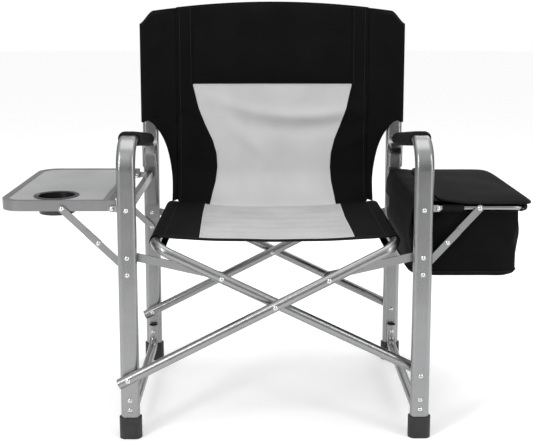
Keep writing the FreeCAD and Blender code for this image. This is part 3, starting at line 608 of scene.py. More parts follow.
class Finish:
    """Base of every finish: one material, made the first time it is asked for."""

    name: str

    def material(self, effects: Effects) -> bpy.types.Material:
        """Material of this finish.

        Args:
            effects: the shared node groups.

        Returns:
            The one material of that name.
        """
        if self.name in effects.made:
            return effects.made[self.name]
        made = bpy.data.materials.new(self.name + "_look")
        effects.made[self.name] = made
        made.use_nodes = True
        made.node_tree.nodes.clear()
        graph = Graph(made.node_tree)
        shader = graph.add("ShaderNodeBsdfPrincipled")
        graph.add("ShaderNodeOutputMaterial", {"Surface": shader.outputs["BSDF"]})
        for socket, given in self.sockets(graph, effects).items():
            graph.feed(shader.inputs[socket], given)
        return made

    def sockets(self, graph: Graph, effects: Effects) -> Dict[str, object]:
        """What each of the shader's inputs gets: a value, or the socket that feeds it.

        Args:
            graph: the material's nodes.
            effects: the shared node groups.

        Returns:
            Values and sockets by the name of the input.
        """
        raise NotImplementedError

    @staticmethod
    def place(graph: Graph, tree: bpy.types.NodeTree, vector: bpy.types.NodeSocket,
              **values: float) -> bpy.types.NodeOutputs:
        """Outputs of a shared group, fed by a vector and its own values."""
        return graph.add("ShaderNodeGroup", {"Vector": vector, **values}, node_tree=tree).outputs

    @staticmethod
    def mix(graph: Graph, factor: bpy.types.NodeSocket, low: object,
            high: object) -> bpy.types.NodeSocket:
        """Colour that goes from low to high with the factor; both are colours or sockets."""
        ends = {number: given if isinstance(given, bpy.types.NodeSocket) else (*given, 1.0)
                for number, given in ((6, low), (7, high))}
        return graph.add("ShaderNodeMix", {0: factor, **ends}, data_type="RGBA").outputs[2]

    @staticmethod
    def spread(graph: Graph, value: bpy.types.NodeSocket, low: float,
               high: float) -> bpy.types.NodeSocket:
        """Number mapped from 0.3-0.7, where noise lies, to low-high."""
        return graph.add("ShaderNodeMapRange", {"Value": value, "From Min": 0.3, "From Max": 0.7,
                                                "To Min": low, "To Max": high}).outputs[0]

    @staticmethod
    def sum(graph: Graph, first: object, second: bpy.types.NodeSocket,
            share: float) -> bpy.types.NodeSocket:
        """The first number plus a share of the second."""
        return graph.math("ADD", first, graph.math("MULTIPLY", second, share))

    @staticmethod
    def bump(graph: Graph, height: bpy.types.NodeSocket, strength: float,
             distance: float) -> bpy.types.NodeSocket:
        """Normal of a surface raised by that height."""
        return graph.add("ShaderNodeBump", {"Height": height, "Strength": strength,
                                            "Distance": distance}).outputs["Normal"]


@dataclass(frozen=True)
class Metal(Finish):
    """Bare or anodised metal with drawing lines, smudges and a few scratches."""

    name: str
    dark: Colour
    light: Colour
    smooth: float
    rough: float
    lines: Tuple[float, float, float] = (60.0, 60.0, 60.0)
    metallic: float = 1.0

    def sockets(self, graph: Graph, effects: Effects) -> Dict[str, object]:
        """Colour and roughness follow smudges and drawing lines; scratches are rougher."""
        where = graph.add("ShaderNodeTexCoord").outputs["Object"]
        wear = self.place(graph, effects.wear, where, Scale=11.0, Thin=0.005)
        stretch = graph.add("ShaderNodeMapping", {"Vector": where, "Scale": self.lines})
        drawn = graph.add("ShaderNodeTexNoise", {"Vector": stretch.outputs[0], "Scale": 14.0,
                                                 "Detail": 4.0, "Roughness": 0.7}).outputs["Fac"]
        tone = self.sum(graph, graph.math("MULTIPLY", wear["Smudge"], 0.6), drawn, 0.4)
        return {"Base Color": self.mix(graph, self.spread(graph, tone, 0.0, 1.0), self.dark, self.light),
                "Roughness": self.sum(graph, self.spread(graph, tone, self.smooth, self.rough),
                                      wear["Scratch"], 0.15),
                "Metallic": self.metallic, "Normal": self.bump(graph, drawn, 0.08, 0.0004)}


@dataclass(frozen=True)
class Plastic(Finish):
    """Moulded plastic or rubber with a fine grain and scuffs."""

    name: str
    dark: Colour
    light: Colour
    smooth: float
    rough: float
    grain: float = 700.0

    def sockets(self, graph: Graph, effects: Effects) -> Dict[str, object]:
        """Grain bumps the surface; scuffs lighten it."""
        where = graph.add("ShaderNodeTexCoord").outputs["Object"]
        grain = self.place(graph, effects.grain, where, Scale=self.grain)
        wear = self.place(graph, effects.wear, where, Scale=22.0, Thin=0.008)
        tone = self.sum(graph, self.spread(graph, grain["Shade"], 0.0, 0.7), wear["Scratch"], 0.5)
        return {"Base Color": self.mix(graph, tone, self.dark, self.light),
                "Roughness": self.spread(graph, wear["Smudge"], self.smooth, self.rough),
                "Normal": self.bump(graph, grain["Height"], 0.25, 0.0004)}


@dataclass(frozen=True)
class Foam(Finish):
    """Closed-cell foam sleeve: matt, pitted by small cells."""

    name: str
    dark: Colour
    light: Colour

    def sockets(self, graph: Graph, effects: Effects) -> Dict[str, object]:
        """Cells are the dark pits of a fine Voronoi pattern over soft noise."""
        where = graph.add("ShaderNodeTexCoord").outputs["Object"]
        grain = self.place(graph, effects.grain, where, Scale=420.0)
        cells = graph.add("ShaderNodeTexVoronoi", {"Vector": where, "Scale": 900.0})
        height = self.sum(graph, graph.math("MULTIPLY", cells.outputs["Distance"], 0.6),
                          grain["Height"], 0.4)
        tone = self.spread(graph, grain["Shade"], 0.0, 1.0)
        return {"Base Color": self.mix(graph, tone, self.dark, self.light),
                "Roughness": self.spread(graph, grain["Height"], 0.62, 0.8),
                "Specular IOR Level": 0.14, "Normal": self.bump(graph, height, 0.35, 0.0006)}


@dataclass(frozen=True)
class Cloth(Finish):
    """Woven cloth on its own map, with uneven dye and a soft sheen."""

    name: str
    dark: Colour
    light: Colour
    threads: float = 1100.0

    def woven(self, graph: Graph, effects: Effects, where: bpy.types.NodeSocket
              ) -> Tuple[bpy.types.NodeOutputs, Dict[str, object]]:
        """The weave, and what all cloth shares: dyed colour, roughness, sheen and gloss.

        Args:
            graph: the material's nodes.
            effects: the shared node groups.
            where: the piece's map.

        Returns:
            Outputs of the weave, and values and sockets by the name of the shader's input.
        """
        weave = self.place(graph, effects.weave, where, Threads=self.threads)
        tone = self.sum(graph, self.spread(graph, weave["Shade"], 0.0, 0.7), weave["Height"], 0.3)
        return weave, {"Base Color": self.mix(graph, tone, self.dark, self.light),
                       "Roughness": self.spread(graph, weave["Shade"], 0.72, 0.86),
                       "Sheen Weight": 0.01, "Sheen Roughness": 0.45, "Specular IOR Level": 0.06}

    def sockets(self, graph: Graph, effects: Effects) -> Dict[str, object]:
        """Weave shades and bumps the cloth; dye varies slowly over it."""
        where = graph.add("ShaderNodeUVMap", uv_map="cloth_map").outputs["UV"]
        weave, shared = self.woven(graph, effects, where)
        return {**shared, "Normal": self.bump(graph, weave["Height"], 0.3, 0.0003)}


@dataclass(frozen=True)
class PanelCloth(Cloth):
    """Black woven cloth with a pale air mesh let into it.

    The point attribute "let_in" is the distance in metres inside the mesh panel.
    """

    net: Colour = (0.56, 0.56, 0.56)
    net_light: Colour = (0.64, 0.64, 0.64)
    hole: Colour = (0.30, 0.30, 0.30)
    holes: float = 420.0

    def sockets(self, graph: Graph, effects: Effects) -> Dict[str, object]:
        """Mesh where let_in is above 0, cloth elsewhere, with a crisp border."""
        where = graph.add("ShaderNodeUVMap", uv_map="cloth_map").outputs["UV"]
        weave, shared = self.woven(graph, effects, where)
        inside = graph.add("ShaderNodeAttribute", attribute_name="let_in").outputs["Fac"]
        mask = graph.add("ShaderNodeMapRange", {"Value": inside, "From Min": -0.0002,
                                                "From Max": 0.0002}).outputs[0]
        net = self.place(graph, effects.net, where, Holes=self.holes, Size=0.28)
        pale = self.mix(graph, self.spread(graph, weave["Shade"], 0.0, 1.0), self.net, self.net_light)
        pitted = self.mix(graph, graph.math("MULTIPLY", net["Hole"], 0.55), pale, self.hole)
        outside = graph.math("SUBTRACT", 1.0, mask)
        height = graph.math("ADD", graph.math("MULTIPLY", weave["Height"], outside),
                            graph.math("MULTIPLY", net["Height"], mask))
        return {**shared, "Base Color": self.mix(graph, mask, shared["Base Color"], pitted),
                "Normal": self.bump(graph, height, 0.3, 0.0003)}


BLACK_DYE: Tuple[Colour, Colour] = ((0.0022, 0.0022, 0.0023), (0.0065, 0.0065, 0.0068))

TUBE_SILVER = Metal("tube_silver", (0.27, 0.272, 0.275), (0.34, 0.342, 0.345), 0.24, 0.34,
                    (25.0, 25.0, 3.0))
ROUND_SILVER = Metal("round_silver", (0.28, 0.282, 0.285), (0.33, 0.332, 0.335), 0.26, 0.33,
                     (7.0, 7.0, 7.0))
BAR_SILVER = Metal("bar_silver", (0.24, 0.242, 0.245), (0.31, 0.312, 0.315), 0.30, 0.42)
RIVET_SILVER = Metal("rivet_silver", (0.55, 0.55, 0.55), (0.72, 0.72, 0.71), 0.16, 0.28)
RIM_SILVER = Metal("table_rim_silver", (0.22, 0.222, 0.225), (0.28, 0.282, 0.285), 0.36, 0.46,
                   (3.0, 3.0, 40.0))
TABLE_SILVER = Metal("table_panel_silver", (0.36, 0.363, 0.366), (0.44, 0.443, 0.446), 0.38, 0.50,
                     (4.0, 60.0, 60.0), 0.6)
FOOT_BLACK = Plastic("foot_black", (0.008, 0.008, 0.008), (0.024, 0.024, 0.025), 0.42, 0.6)
SPACER_BLACK = Plastic("spacer_black", (0.010, 0.010, 0.010), (0.035, 0.035, 0.035), 0.38, 0.5)
CUP_BLACK = Plastic("cup_black", (0.004, 0.004, 0.004), (0.012, 0.012, 0.012), 0.28, 0.42, 500.0)
ZIP_BLACK = Plastic("zip_black", (0.007, 0.007, 0.007), (0.022, 0.022, 0.022), 0.3, 0.45)
ARM_FOAM = Foam("arm_foam", (0.0022, 0.0022, 0.0024), (0.006, 0.006, 0.0064))
CLOTH_BLACK = Cloth("cloth_black", *BLACK_DYE)
SEWN_CLOTH = PanelCloth("sewn_cloth", *BLACK_DYE)
# The seat's air mesh is the back's mesh with its net, light and hole colours painted darker: painted
# shade.
SEAT_CLOTH_PAINTED_SHADE = PanelCloth("seat_sewn_cloth_painted_shade", *BLACK_DYE, net=(0.46, 0.46, 0.46),
                        net_light=(0.54, 0.54, 0.54), hole=(0.26, 0.26, 0.26))
CLOTH_PLAIN = Foam("cloth_trim_black", (0.0022, 0.0022, 0.0023), (0.006, 0.006, 0.0062))
THREAD_BLACK = Plastic("thread_black", (0.010, 0.010, 0.010), (0.022, 0.022, 0.022), 0.6, 0.75)
PIPING_GREY = Plastic("piping_grey", (0.55, 0.55, 0.55), (0.64, 0.64, 0.64), 0.5, 0.65, 1500.0)


# ---------------------------------------------------------------------------
# The chair's own lines
# ---------------------------------------------------------------------------


WHEELBASE = 0.450
LEAN = math.radians(5.0)


class Side(Enum):
    """Side of the chair as the viewer sees it from the front."""

    LEFT = -1
    RIGHT = 1

    @property
    def word(self) -> str:
        """This side as the names of nodes and pieces spell it."""
        return self.name.lower()

    @property
    def body(self) -> str:
        """Body that this side's leg, arm and upright belong to."""
        return self.word + "_frame"


@dataclass(frozen=True)
class Lines:
    """Main lines of the frame, and where its own origin lies in the row frame.

    The chair's own X is 0 in its middle and its own Y is 0 at the front feet.
    """

    middle: float
    front: float

    @classmethod
    def read(cls) -> "Lines":
        """Work the origin out from the boxes of the two rear uprights.

        Returns:
            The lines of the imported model.
        """
        left_low, left_high = (np.array(c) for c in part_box("left_rear_upright"))
        right_high = np.array(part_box("right_rear_upright")[1])
        centre = (left_low + left_high) / 2
        return cls(middle=float(left_low[0] + right_high[0]) / 2,
                   front=float(centre[1]) - WHEELBASE - math.tan(LEAN) * float(centre[2]))

    def place(self, grid: Array) -> Array:
        """Points moved from the chair's own origin to the row frame."""
        return np.asarray(grid, float) + np.array([self.middle, self.front, 0.0])

    def spot(self, x: float, y: float, z: float) -> Tuple[float, float, float]:
        """One point of the chair in the row frame."""
        return (x + self.middle, y + self.front, z)

    @staticmethod
    def rear_y(z: Array) -> Array:
        """Y of the uprights' centre line: wheelbase + tan(lean) * z."""
        return WHEELBASE + math.tan(LEAN) * np.asarray(z, float)


@dataclass
class SoftPart:
    """Base of the soft parts: where the chair stands, its finishes, and how a piece is dressed."""

    lines: Lines
    effects: Effects

    def dress(self, piece: Piece, look: Finish, slot: str, body: str,
              sharp: float = 50.0) -> bpy.types.Object:
        """Build a piece, give it its finish, and let it ride.

        Args:
            piece: the piece, in the row frame.
            look: its finish.
            slot: material slot of the record; not used.
            body: body it moves with.
            sharp: edges that turn by more than this many degrees stay crisp.

        Returns:
            The finished object.
        """
        made = piece.build(sharp)
        made.data.materials.clear()
        made.data.materials.append(look.material(self.effects))
        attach(made, body)
        log.info("%s: %d faces, on %s", made.name, len(made.data.polygons), body)
        return made


# ---------------------------------------------------------------------------
# Back
# ---------------------------------------------------------------------------


@dataclass(frozen=True)
class Crease:
    """One fold of the back: a bell across the line z = level + slope x + curve x^2.

    It is height tall and width wide, and fades along X by a bell about centre.
    """

    height: float
    level: float
    slope: float
    curve: float
    width: float
    centre: float
    reach: float

    def lift(self, x: Array, z: Array) -> Array:
        """Height of the fold at points of the back."""
        line = self.level + self.slope * x + self.curve * x ** 2
        return self.height * bell(z, line, self.width) * bell(x, self.centre, self.reach)


BACK_CREASES = (
    Crease(0.0085, 0.632, -0.13, 0.9, 0.017, 0.05, 0.16),
    Crease(-0.0065, 0.598, -0.10, 0.9, 0.020, 0.07, 0.14),
    Crease(0.0036, 0.514, -0.85, 0.0, 0.022, -0.07, 0.06),
    Crease(0.0022, 0.450, 0.55, 0.0, 0.012, 0.21, 0.05),
    Crease(0.0024, 0.495, 0.60, 0.0, 0.012, 0.23, 0.06),
    Crease(0.0022, 0.550, -0.45, 0.0, 0.013, -0.22, 0.06),
    Crease(0.0020, 0.470, -0.30, 0.0, 0.012, -0.21, 0.05),
)
NET_HEIGHTS = (0.40, 0.4165, 0.44, 0.465, 0.50, 0.535, 0.57, 0.606, 0.65, 0.6945, 0.72)
NET_HALVES = (0.160, 0.157, 0.152, 0.146, 0.1425, 0.1445, 0.154, 0.170, 0.186, 0.196, 0.202)


@dataclass
class BackCloth(SoftPart):
    """Back: a panel between two seams, and a sleeve over each upright."""

    seam: float = 0.240
    outer: float = 0.318
    wrap: float = 0.0125
    low: float = 0.402
    crown: float = 0.910
    sleeve_low: float = 0.660
    sleeve_full: float = 0.684
    net_top: float = 0.708
    cloth: float = 0.0022
    pad_half: float = 0.197
    pad_gap: float = 0.006
    pad_swell: float = 0.0075
    hem: float = 0.0030
    foot_top: float = 0.500
    panel_pull: float = 0.036
    strip_pull: float = 0.051
    proud: float = 0.0003
    travel: float = 0.3775

    def top(self, x: Array) -> Array:
        """Top edge: crown - 0.238 x^2, and a further drop towards the outer corners."""
        x = np.abs(np.asarray(x, float))
        return self.crown - 0.238 * x ** 2 - 0.027 * smooth_step(x, 0.296, 0.333)

    def low_edge(self, x: Array) -> Array:
        """Bottom edge: it rises towards the rails."""
        return self.low + 0.0215 * smooth_step(np.abs(x), 0.231, self.seam - 0.0005)

    def net_half(self, z: Array) -> Array:
        """Half width of the air mesh: narrow at the loins, wide at the shoulders and the seat."""
        return np.interp(z, NET_HEIGHTS, NET_HALVES)

    @staticmethod
    def net_middle(z: Array) -> Array:
        """Middle of the mesh: it wanders a little to the right at the loins."""
        return 0.0035 * bell(z, 0.52, 0.09)

    def let_in(self, x: Array, z: Array) -> Array:
        """Distance inside the mesh panel: the least of those to its sides and its top."""
        return np.minimum(self.net_half(z) - np.abs(x - self.net_middle(z)), self.net_top - z)

    def creases(self, x: Array, z: Array) -> Array:
        """Height of the cloth's folds: every crease and a low ripple, fading past the seams.

        Args:
            x: places across the back.
            z: heights.

        Returns:
            How far the cloth stands forward of its smooth shape.
        """
        lift = sum(crease.lift(x, z) for crease in BACK_CREASES)
        lift = lift + 0.0008 * np.sin(41 * x + 23 * z) * np.sin(17 * x - 31 * z + 1.2)
        return lift * smooth_step(self.seam + 0.05 - np.abs(x), 0.0, 0.03)

    def drawn_in(self, z: Array, pull: float) -> Array:
        """How far the foot of the back is drawn forward: pull * (1 - step(z))^1.4."""
        return pull * (1 - smooth_step(z, self.low, self.foot_top)) ** 1.4

    def middle_y(self, x: Array, z: Array) -> Array:
        """Y of the panel: the uprights' line, plus a sag, less the folds and the pull at the foot.

        Args:
            x: places across the back.
            z: heights.

        Returns:
            Y in the chair's own frame.
        """
        share = np.clip(1 - (x / 0.262) ** 2, 0.0, 1.0)
        sag = 0.016 * share * bell(z, 0.60, 0.15) + 0.004 * share * smooth_step(z, 0.7, 0.88)
        return self.lines.rear_y(z) + sag - self.drawn_in(z, self.panel_pull) - self.creases(x, z)

    def face(self, x: Array, z: Array, lift: Optional[float] = None) -> Array:
        """Points on the front of the panel, a little proud of it.

        Args:
            x: places across the back.
            z: heights.
            lift: distance from the cloth; the piece's usual one where it is left out.

        Returns:
            Points in the row frame.
        """
        x, z = np.broadcast_arrays(np.asarray(x, float), np.asarray(z, float))
        y = self.middle_y(x, z) - self.cloth / 2 - (self.proud if lift is None else lift)
        return self.lines.place(np.stack([x, y, z], axis=-1))

    def folding(self, piece: Piece, look: Finish, slot: str) -> bpy.types.Object:
        """Dress a piece of the panel: it rides on the left frame, with a mesh of its own.

        Args:
            piece: the piece.
            look: its finish.
            slot: material slot of the record.

        Returns:
            The finished object.
        """
        made = self.dress(piece, look, slot, "left_frame")
        self.lines.spot(-self.seam, 0.49, 0.65)
        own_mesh(made)
        return made

    def panel(self) -> bpy.types.Object:
        """Panel between the seams: z runs from the low edge to the top at each x.

        Returns:
            The finished panel.
        """
        u = np.linspace(-self.seam, self.seam, 161)[None, :]
        v = np.linspace(0.0, 1.0, 191)[:, None]
        low, top = self.low_edge(u), self.top(u)
        z = low + v * (top - low)
        x = np.broadcast_to(u, z.shape)
        grid = self.lines.place(np.stack([x, self.middle_y(x, z), z], axis=2))
        piece = shell("back_cloth_panel", grid, self.cloth, marks={"let_in": self.let_in(x, z)})
        made = self.folding(piece, SEWN_CLOTH, "mesh_grey")
        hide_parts("back_panel")
        return made

    def sleeve_section(self) -> Array:
        """Middle line of a sleeve: forward y = -wrap * step(x), a half circle, and back to a hem.

        Returns:
            X and Y offset from the uprights' line, one row each.
        """
        forth = np.linspace(self.seam - 0.005, self.outer, 60)
        turn = np.linspace(-math.pi / 2, math.pi / 2, 30)[1:-1]
        back = np.linspace(self.outer, self.seam + 0.003, 60)
        rise = smooth_step(forth, self.seam, 0.298)
        fall = smooth_step(back, self.seam, 0.298)
        front = np.stack([forth, -self.wrap * rise], axis=1)
        bend = np.stack([self.outer + self.wrap * np.cos(turn), self.wrap * np.sin(turn)], axis=1)
        rear = np.stack([back, self.hem + (self.wrap - self.hem) * fall], axis=1)
        return np.concatenate([front, bend, rear])

    def sleeve(self, side: Side) -> bpy.types.Object:
        """Sleeve of one side; under it the cloth runs down as a strip beside the panel.

        Column t of the row at z is the section's point at t * end(z). The end goes from the
        strip's edge x = 0.25 + 0.082 exp((z - 0.65) / 0.06) to the whole section.

        Args:
            side: which upright it covers.

        Returns:
            The finished sleeve.
        """
        section = self.sleeve_section()
        run = run_length(section)
        v = np.concatenate([np.linspace(0, 0.42, 60, endpoint=False),
                            np.linspace(0.42, 0.56, 60, endpoint=False),
                            np.linspace(0.56, 0.96, 50, endpoint=False),
                            np.linspace(0.96, 1.0, 14)])[:, None]
        t = np.linspace(0.0, 1.0, 90)[None, :]
        low = self.low_edge(np.array(self.seam))
        z_row = low + v * (self.crown - low)
        edge = np.minimum(0.250 + 0.082 * np.exp((z_row - 0.650) / 0.060), 0.3305)
        at_edge = np.interp(edge, section[:90, 0], run[:90])
        whole = smooth_step(z_row, self.sleeve_low, self.sleeve_full)
        s = t * (at_edge + (run[-1] - at_edge) * whole)
        x, off = np.interp(s, run, section[:, 0]), np.interp(s, run, section[:, 1])
        top = self.top(x)
        z = low + v * (top - low)
        off = off * (0.14 + 0.86 * smooth_step(top - z, 0.0, 0.012))
        taut = 1 - smooth_step(x, self.seam, 0.250)
        straight = self.lines.rear_y(z) - self.drawn_in(z, self.strip_pull)
        y = taut * self.middle_y(x, z) + (1 - taut) * straight + off
        y = y - 0.0009 * np.sin(60 * z + 30 * x) * smooth_step(self.outer - x, 0.0, 0.03) * (1 - taut)
        y = y + 0.0024 * (1 - smooth_step(x, self.seam, self.seam + 0.006)) * (t < 0.5)
        grid = self.lines.place(np.stack([x * side.value, y, z], axis=2))
        piece = shell("back_cloth_sleeve_" + side.word, grid, self.cloth)
        made = self.dress(piece, CLOTH_BLACK, "cloth_black", side.body)
        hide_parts("back_sleeve_" + side.word)
        return made

    def pad_edges(self, x: Array) -> Tuple[float, Array]:
        """Height of the headrest's lower seam, and of its upper one at each x."""
        return self.net_top + self.pad_gap, self.top(x) - 0.004

    def pad_lift(self, x: Array, z: Array) -> Array:
        """Height of the headrest's filling: a pillow that falls off steeply at its four seams.

        (1 - |a|^6)(1 - |b|^6) with a and b from -1 to 1 over the pad, and small puckers
        along the seams.

        Args:
            x: places across the back.
            z: heights.

        Returns:
            Share of the pad's full swell.
        """
        low, top = self.pad_edges(x)
        a = x / self.pad_half
        b = 2 * (z - low) / (top - low) - 1
        pillow = np.clip(1 - np.abs(a) ** 6, 0, 1) * np.clip(1 - np.abs(b) ** 6, 0, 1)
        pucker = (0.10 * np.cos(190 * x) * bell(np.abs(b), 0.9, 0.12)
                  + 0.10 * np.cos(170 * z) * bell(np.abs(a), 0.93, 0.07))
        waves = 0.07 * np.sin(22 * x + 9) * np.sin(30 * z) + 0.06 * np.sin(51 * x - 24 * z)
        return pillow * (1 + pucker + waves)

    def headrest(self) -> bpy.types.Object:
        """Padded block sewn to the front of the panel, from the mesh's top edge to the crown.

        Returns:
            The finished pad.
        """
        u = np.linspace(-self.pad_half, self.pad_half, 181)[None, :]
        v = np.linspace(0.0, 1.0, 91)[:, None]
        low, top = self.pad_edges(u)
        z = low + v * (top - low)
        x = np.broadcast_to(u, z.shape)
        piece = shell("headrest_pad", self.face(x, z, 0.0012), 0.0012,
                      self.pad_swell * self.pad_lift(x, z))
        made = self.folding(piece, CLOTH_BLACK, "cloth_black")
        return made

    def stitching(self) -> None:
        """Rows of stitches: beside both seams, along the top and over the mesh."""
        rows = {}
        for place, x in (("left_outer", -0.232), ("left_inner", -0.2045),
                         ("right_inner", 0.2045), ("right_outer", 0.232)):
            foot = self.low_edge(x) + 0.005 if place.endswith("outer") else self.net_top
            rows[place] = self.face(x, np.linspace(foot, self.top(x) - 0.004, 90))
        x = np.linspace(-0.236, 0.236, 120)
        rows["top"] = self.face(x, self.top(x) - 0.0035)
        rows["net"] = self.face(np.linspace(-0.2, 0.2, 100), self.net_top + 0.003)
        for place, line in rows.items():
            self.folding(stitches("stitch_back_" + place, line, (0.0, -1.0, 0.1)), THREAD_BLACK,
                         "cloth_black")

    def trim(self) -> None:
        """Pale piping round the mesh panel, and black piping on the top edge."""
        z = np.linspace(self.low + 0.004, self.net_top, 110)
        half = self.net_half(self.net_top)
        borders = {"left": self.face(self.net_middle(z) - self.net_half(z), z),
                   "right": self.face(self.net_middle(z) + self.net_half(z), z),
                   "top": self.face(np.linspace(-half, half, 90), self.net_top)}
        for place, line in borders.items():
            piece = carried("piping_back_" + place, line, ring_section(0.0012, 8), (0.0, 1.0, 0.2),
                            ends=0.001)
            self.folding(piece, PIPING_GREY, "mesh_grey")
        x = np.linspace(-self.seam, self.seam, 140)
        top = self.top(x)
        edge = self.lines.place(np.stack([x, self.middle_y(x, top), top], axis=1))
        piece = carried("piping_back_edge", edge, ring_section(0.0014, 10), (0.0, 1.0, 0.0),
                        ends=0.002)
        self.folding(piece, CLOTH_PLAIN, "cloth_black")

    def build(self) -> None:
        """Make and dress the whole back."""
        self.panel()
        for side in Side:
            self.sleeve(side)
        self.headrest()
        self.trim()
        self.stitching()


# ---------------------------------------------------------------------------
# Seat
# ---------------------------------------------------------------------------


@dataclass
class SeatCloth(SoftPart):
    """Seat: one cloth slung between the two rails and sewn round each."""

    rail_x: float = 0.253
    rail_z: float = 0.4109
    wrap: float = 0.0125
    front: float = 0.0755
    back: float = 0.4400
    cloth: float = 0.0022
    border: float = 0.013

    def sag(self, y: Array) -> Array:
        """Depth of the seat's hollow along Y: deepest a little behind the middle."""
        return 0.0125 + 0.006 * bell(y, 0.29, 0.13)

    def net_half(self, y: Array) -> Array:
        """Half width of the seat's mesh: a little wider at the back."""
        return np.interp(y, [self.front, 0.18, 0.43], [0.165, 0.1665, 0.1685])

    def net_middle(self, y: Array) -> Array:
        """Middle of the seat's mesh: a little to the right at the front."""
        return 0.0045 * (1 - smooth_step(y, self.front, 0.35))

    def let_in(self, x: Array, y: Array) -> Array:
        """Distance inside the seat's mesh: the least of those to its sides and its front."""
        return np.minimum(self.net_half(y) - np.abs(x - self.net_middle(y)),
                          y - (self.front + self.border))

    def scoop(self, x: Array, y: Array) -> Array:
        """How far the front edge is drawn back in its middle."""
        return 0.007 * bell(x, 0.0, 0.13) * (1 - smooth_step(y, self.front, self.front + 0.05))

    def height(self, x: Array, y: Array) -> Array:
        """Top of the slung cloth: level at the rails, less the sag times 1 - (x/rail)^2, plus ribs.

        The ribs are a low sine along Y inside the mesh.

        Args:
            x: places across the seat.
            y: places from front to back.

        Returns:
            Z of the cloth.
        """
        share = np.clip(1 - (x / self.rail_x) ** 2, 0.0, 1.0) ** 0.85
        ribs = (0.0011 * np.sin(2 * math.pi * (y - 0.08) / 0.052)
                * smooth_step(self.let_in(x, y), 0.0, 0.02))
        folds = 0.0016 * bell(np.abs(x) + 0.25 * (y - 0.2), 0.205, 0.012) * bell(y, 0.3, 0.1)
        folds += 0.0007 * np.sin(38 * x - 21 * y) * np.sin(25 * y + 13 * x)
        return self.rail_z + self.wrap - self.sag(y) * share + (ribs + folds) * share ** 0.5

    def bending(self, piece: Piece, look: Finish, slot: str) -> bpy.types.Object:
        """Dress a piece of the seat, then free it from its body and bake its place into its mesh.

        Args:
            piece: the piece.
            look: its finish.
            slot: material slot of the record.

        Returns:
            The finished object.
        """
        made = self.dress(piece, look, slot, "cross_tube_a")
        made.parent = None
        reach = self.rail_x - 0.01
        self.lines.spot(-reach, 0.25, self.rail_z)
        self.lines.spot(reach, 0.25, self.rail_z)
        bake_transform(made)
        return made

    def panel(self) -> bpy.types.Object:
        """Slung cloth with its wraps: the section goes over each rail, round it and under.

        Over the middle it is (x, height); round the rail it is a circle of radius wrap from
        the top to past the bottom; then it runs inwards as a hem.

        Returns:
            The finished seat.
        """
        y = np.linspace(self.front, self.back, 131)[:, None]
        x = np.linspace(-self.rail_x, self.rail_x, 171)[None, :]
        mid = np.stack(np.broadcast_arrays(x, y, self.height(x, y)), axis=2)
        turn = np.linspace(math.pi / 2, -math.pi / 2, 26)[1:]
        arc = np.stack([self.rail_x + self.wrap * np.cos(turn),
                        self.rail_z + self.wrap * np.sin(turn)], axis=1)
        hem = np.stack([self.rail_x - np.linspace(0.002, 0.020, 8),
                        self.rail_z - self.wrap + np.linspace(0.0, -0.001, 8)], axis=1)
        wrap = np.concatenate([arc, hem])
        right = np.stack(np.broadcast_arrays(wrap[None, :, 0], y, wrap[None, :, 1]), axis=2)
        left = right[:, ::-1] * np.array([-1.0, 1.0, 1.0])
        grid = np.concatenate([left, mid, right], axis=1)
        grid[..., 1] += self.scoop(grid[..., 0], grid[..., 1])
        inside = np.full(grid.shape[:2], -0.05)
        inside[:, len(wrap):-len(wrap)] = self.let_in(*np.broadcast_arrays(x, y))
        piece = shell("seat_cloth_panel", self.lines.place(grid), self.cloth,
                      marks={"let_in": inside})
        # The seat's mesh takes the darker copy, whose colours hold painted shade.
        made = self.bending(piece, SEAT_CLOTH_PAINTED_SHADE, "mesh_grey")
        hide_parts("seat_panel", "seat_sleeve_a", "seat_sleeve_b")
        return made

    def face(self, x: Array, y: Array) -> Array:
        """Points just above the seat.

        Args:
            x: places across the seat.
            y: places from front to back.

        Returns:
            Points in the row frame.
        """
        x, y = np.broadcast_arrays(np.asarray(x, float), np.asarray(y, float))
        z = self.height(x, y) + self.cloth / 2 + 0.0003
        return self.lines.place(np.stack([x, y + self.scoop(x, y), z], axis=1))

    def trim(self) -> None:
        """Pale piping beside the mesh, a black one on the front edge, and stitching."""
        y = np.linspace(self.front + self.border, self.back - 0.001, 90)
        x = np.linspace(-0.16, 0.16, 90)
        middle, half = self.net_middle(y), self.net_half(y)
        edge_x = np.linspace(-self.rail_x + 0.004, self.rail_x - 0.004, 120)
        strips = {"left": (self.face(middle - half, y), 0.0012, PIPING_GREY, "mesh_grey"),
                  "right": (self.face(middle + half, y), 0.0012, PIPING_GREY, "mesh_grey"),
                  "front": (self.face(x, y[0]), 0.0010, PIPING_GREY, "mesh_grey"),
                  "edge": (self.face(edge_x, self.front) - np.array([0.0, 0.0, 0.0013]), 0.0022,
                           CLOTH_PLAIN, "cloth_black")}
        for place, (line, radius, look, slot) in strips.items():
            piece = carried("piping_seat_" + place, line, ring_section(radius, 8), (0.0, 0.0, 1.0),
                            ends=0.001)
            self.bending(piece, look, slot)
        along = np.linspace(self.front + 0.004, self.back - 0.004, 80)
        rows = {"left": self.face(-0.236, along), "right": self.face(0.236, along),
                "front": self.face(np.linspace(-0.235, 0.235, 100), self.front + 0.006)}
        for place, line in rows.items():
            self.bending(stitches("stitch_seat_" + place, line, (0.0, 0.0, 1.0)), THREAD_BLACK,
                         "cloth_black")

    def build(self) -> None:
        """Make and dress the whole seat."""
        self.panel()
        self.trim()


# ---------------------------------------------------------------------------
# Arms
# ---------------------------------------------------------------------------


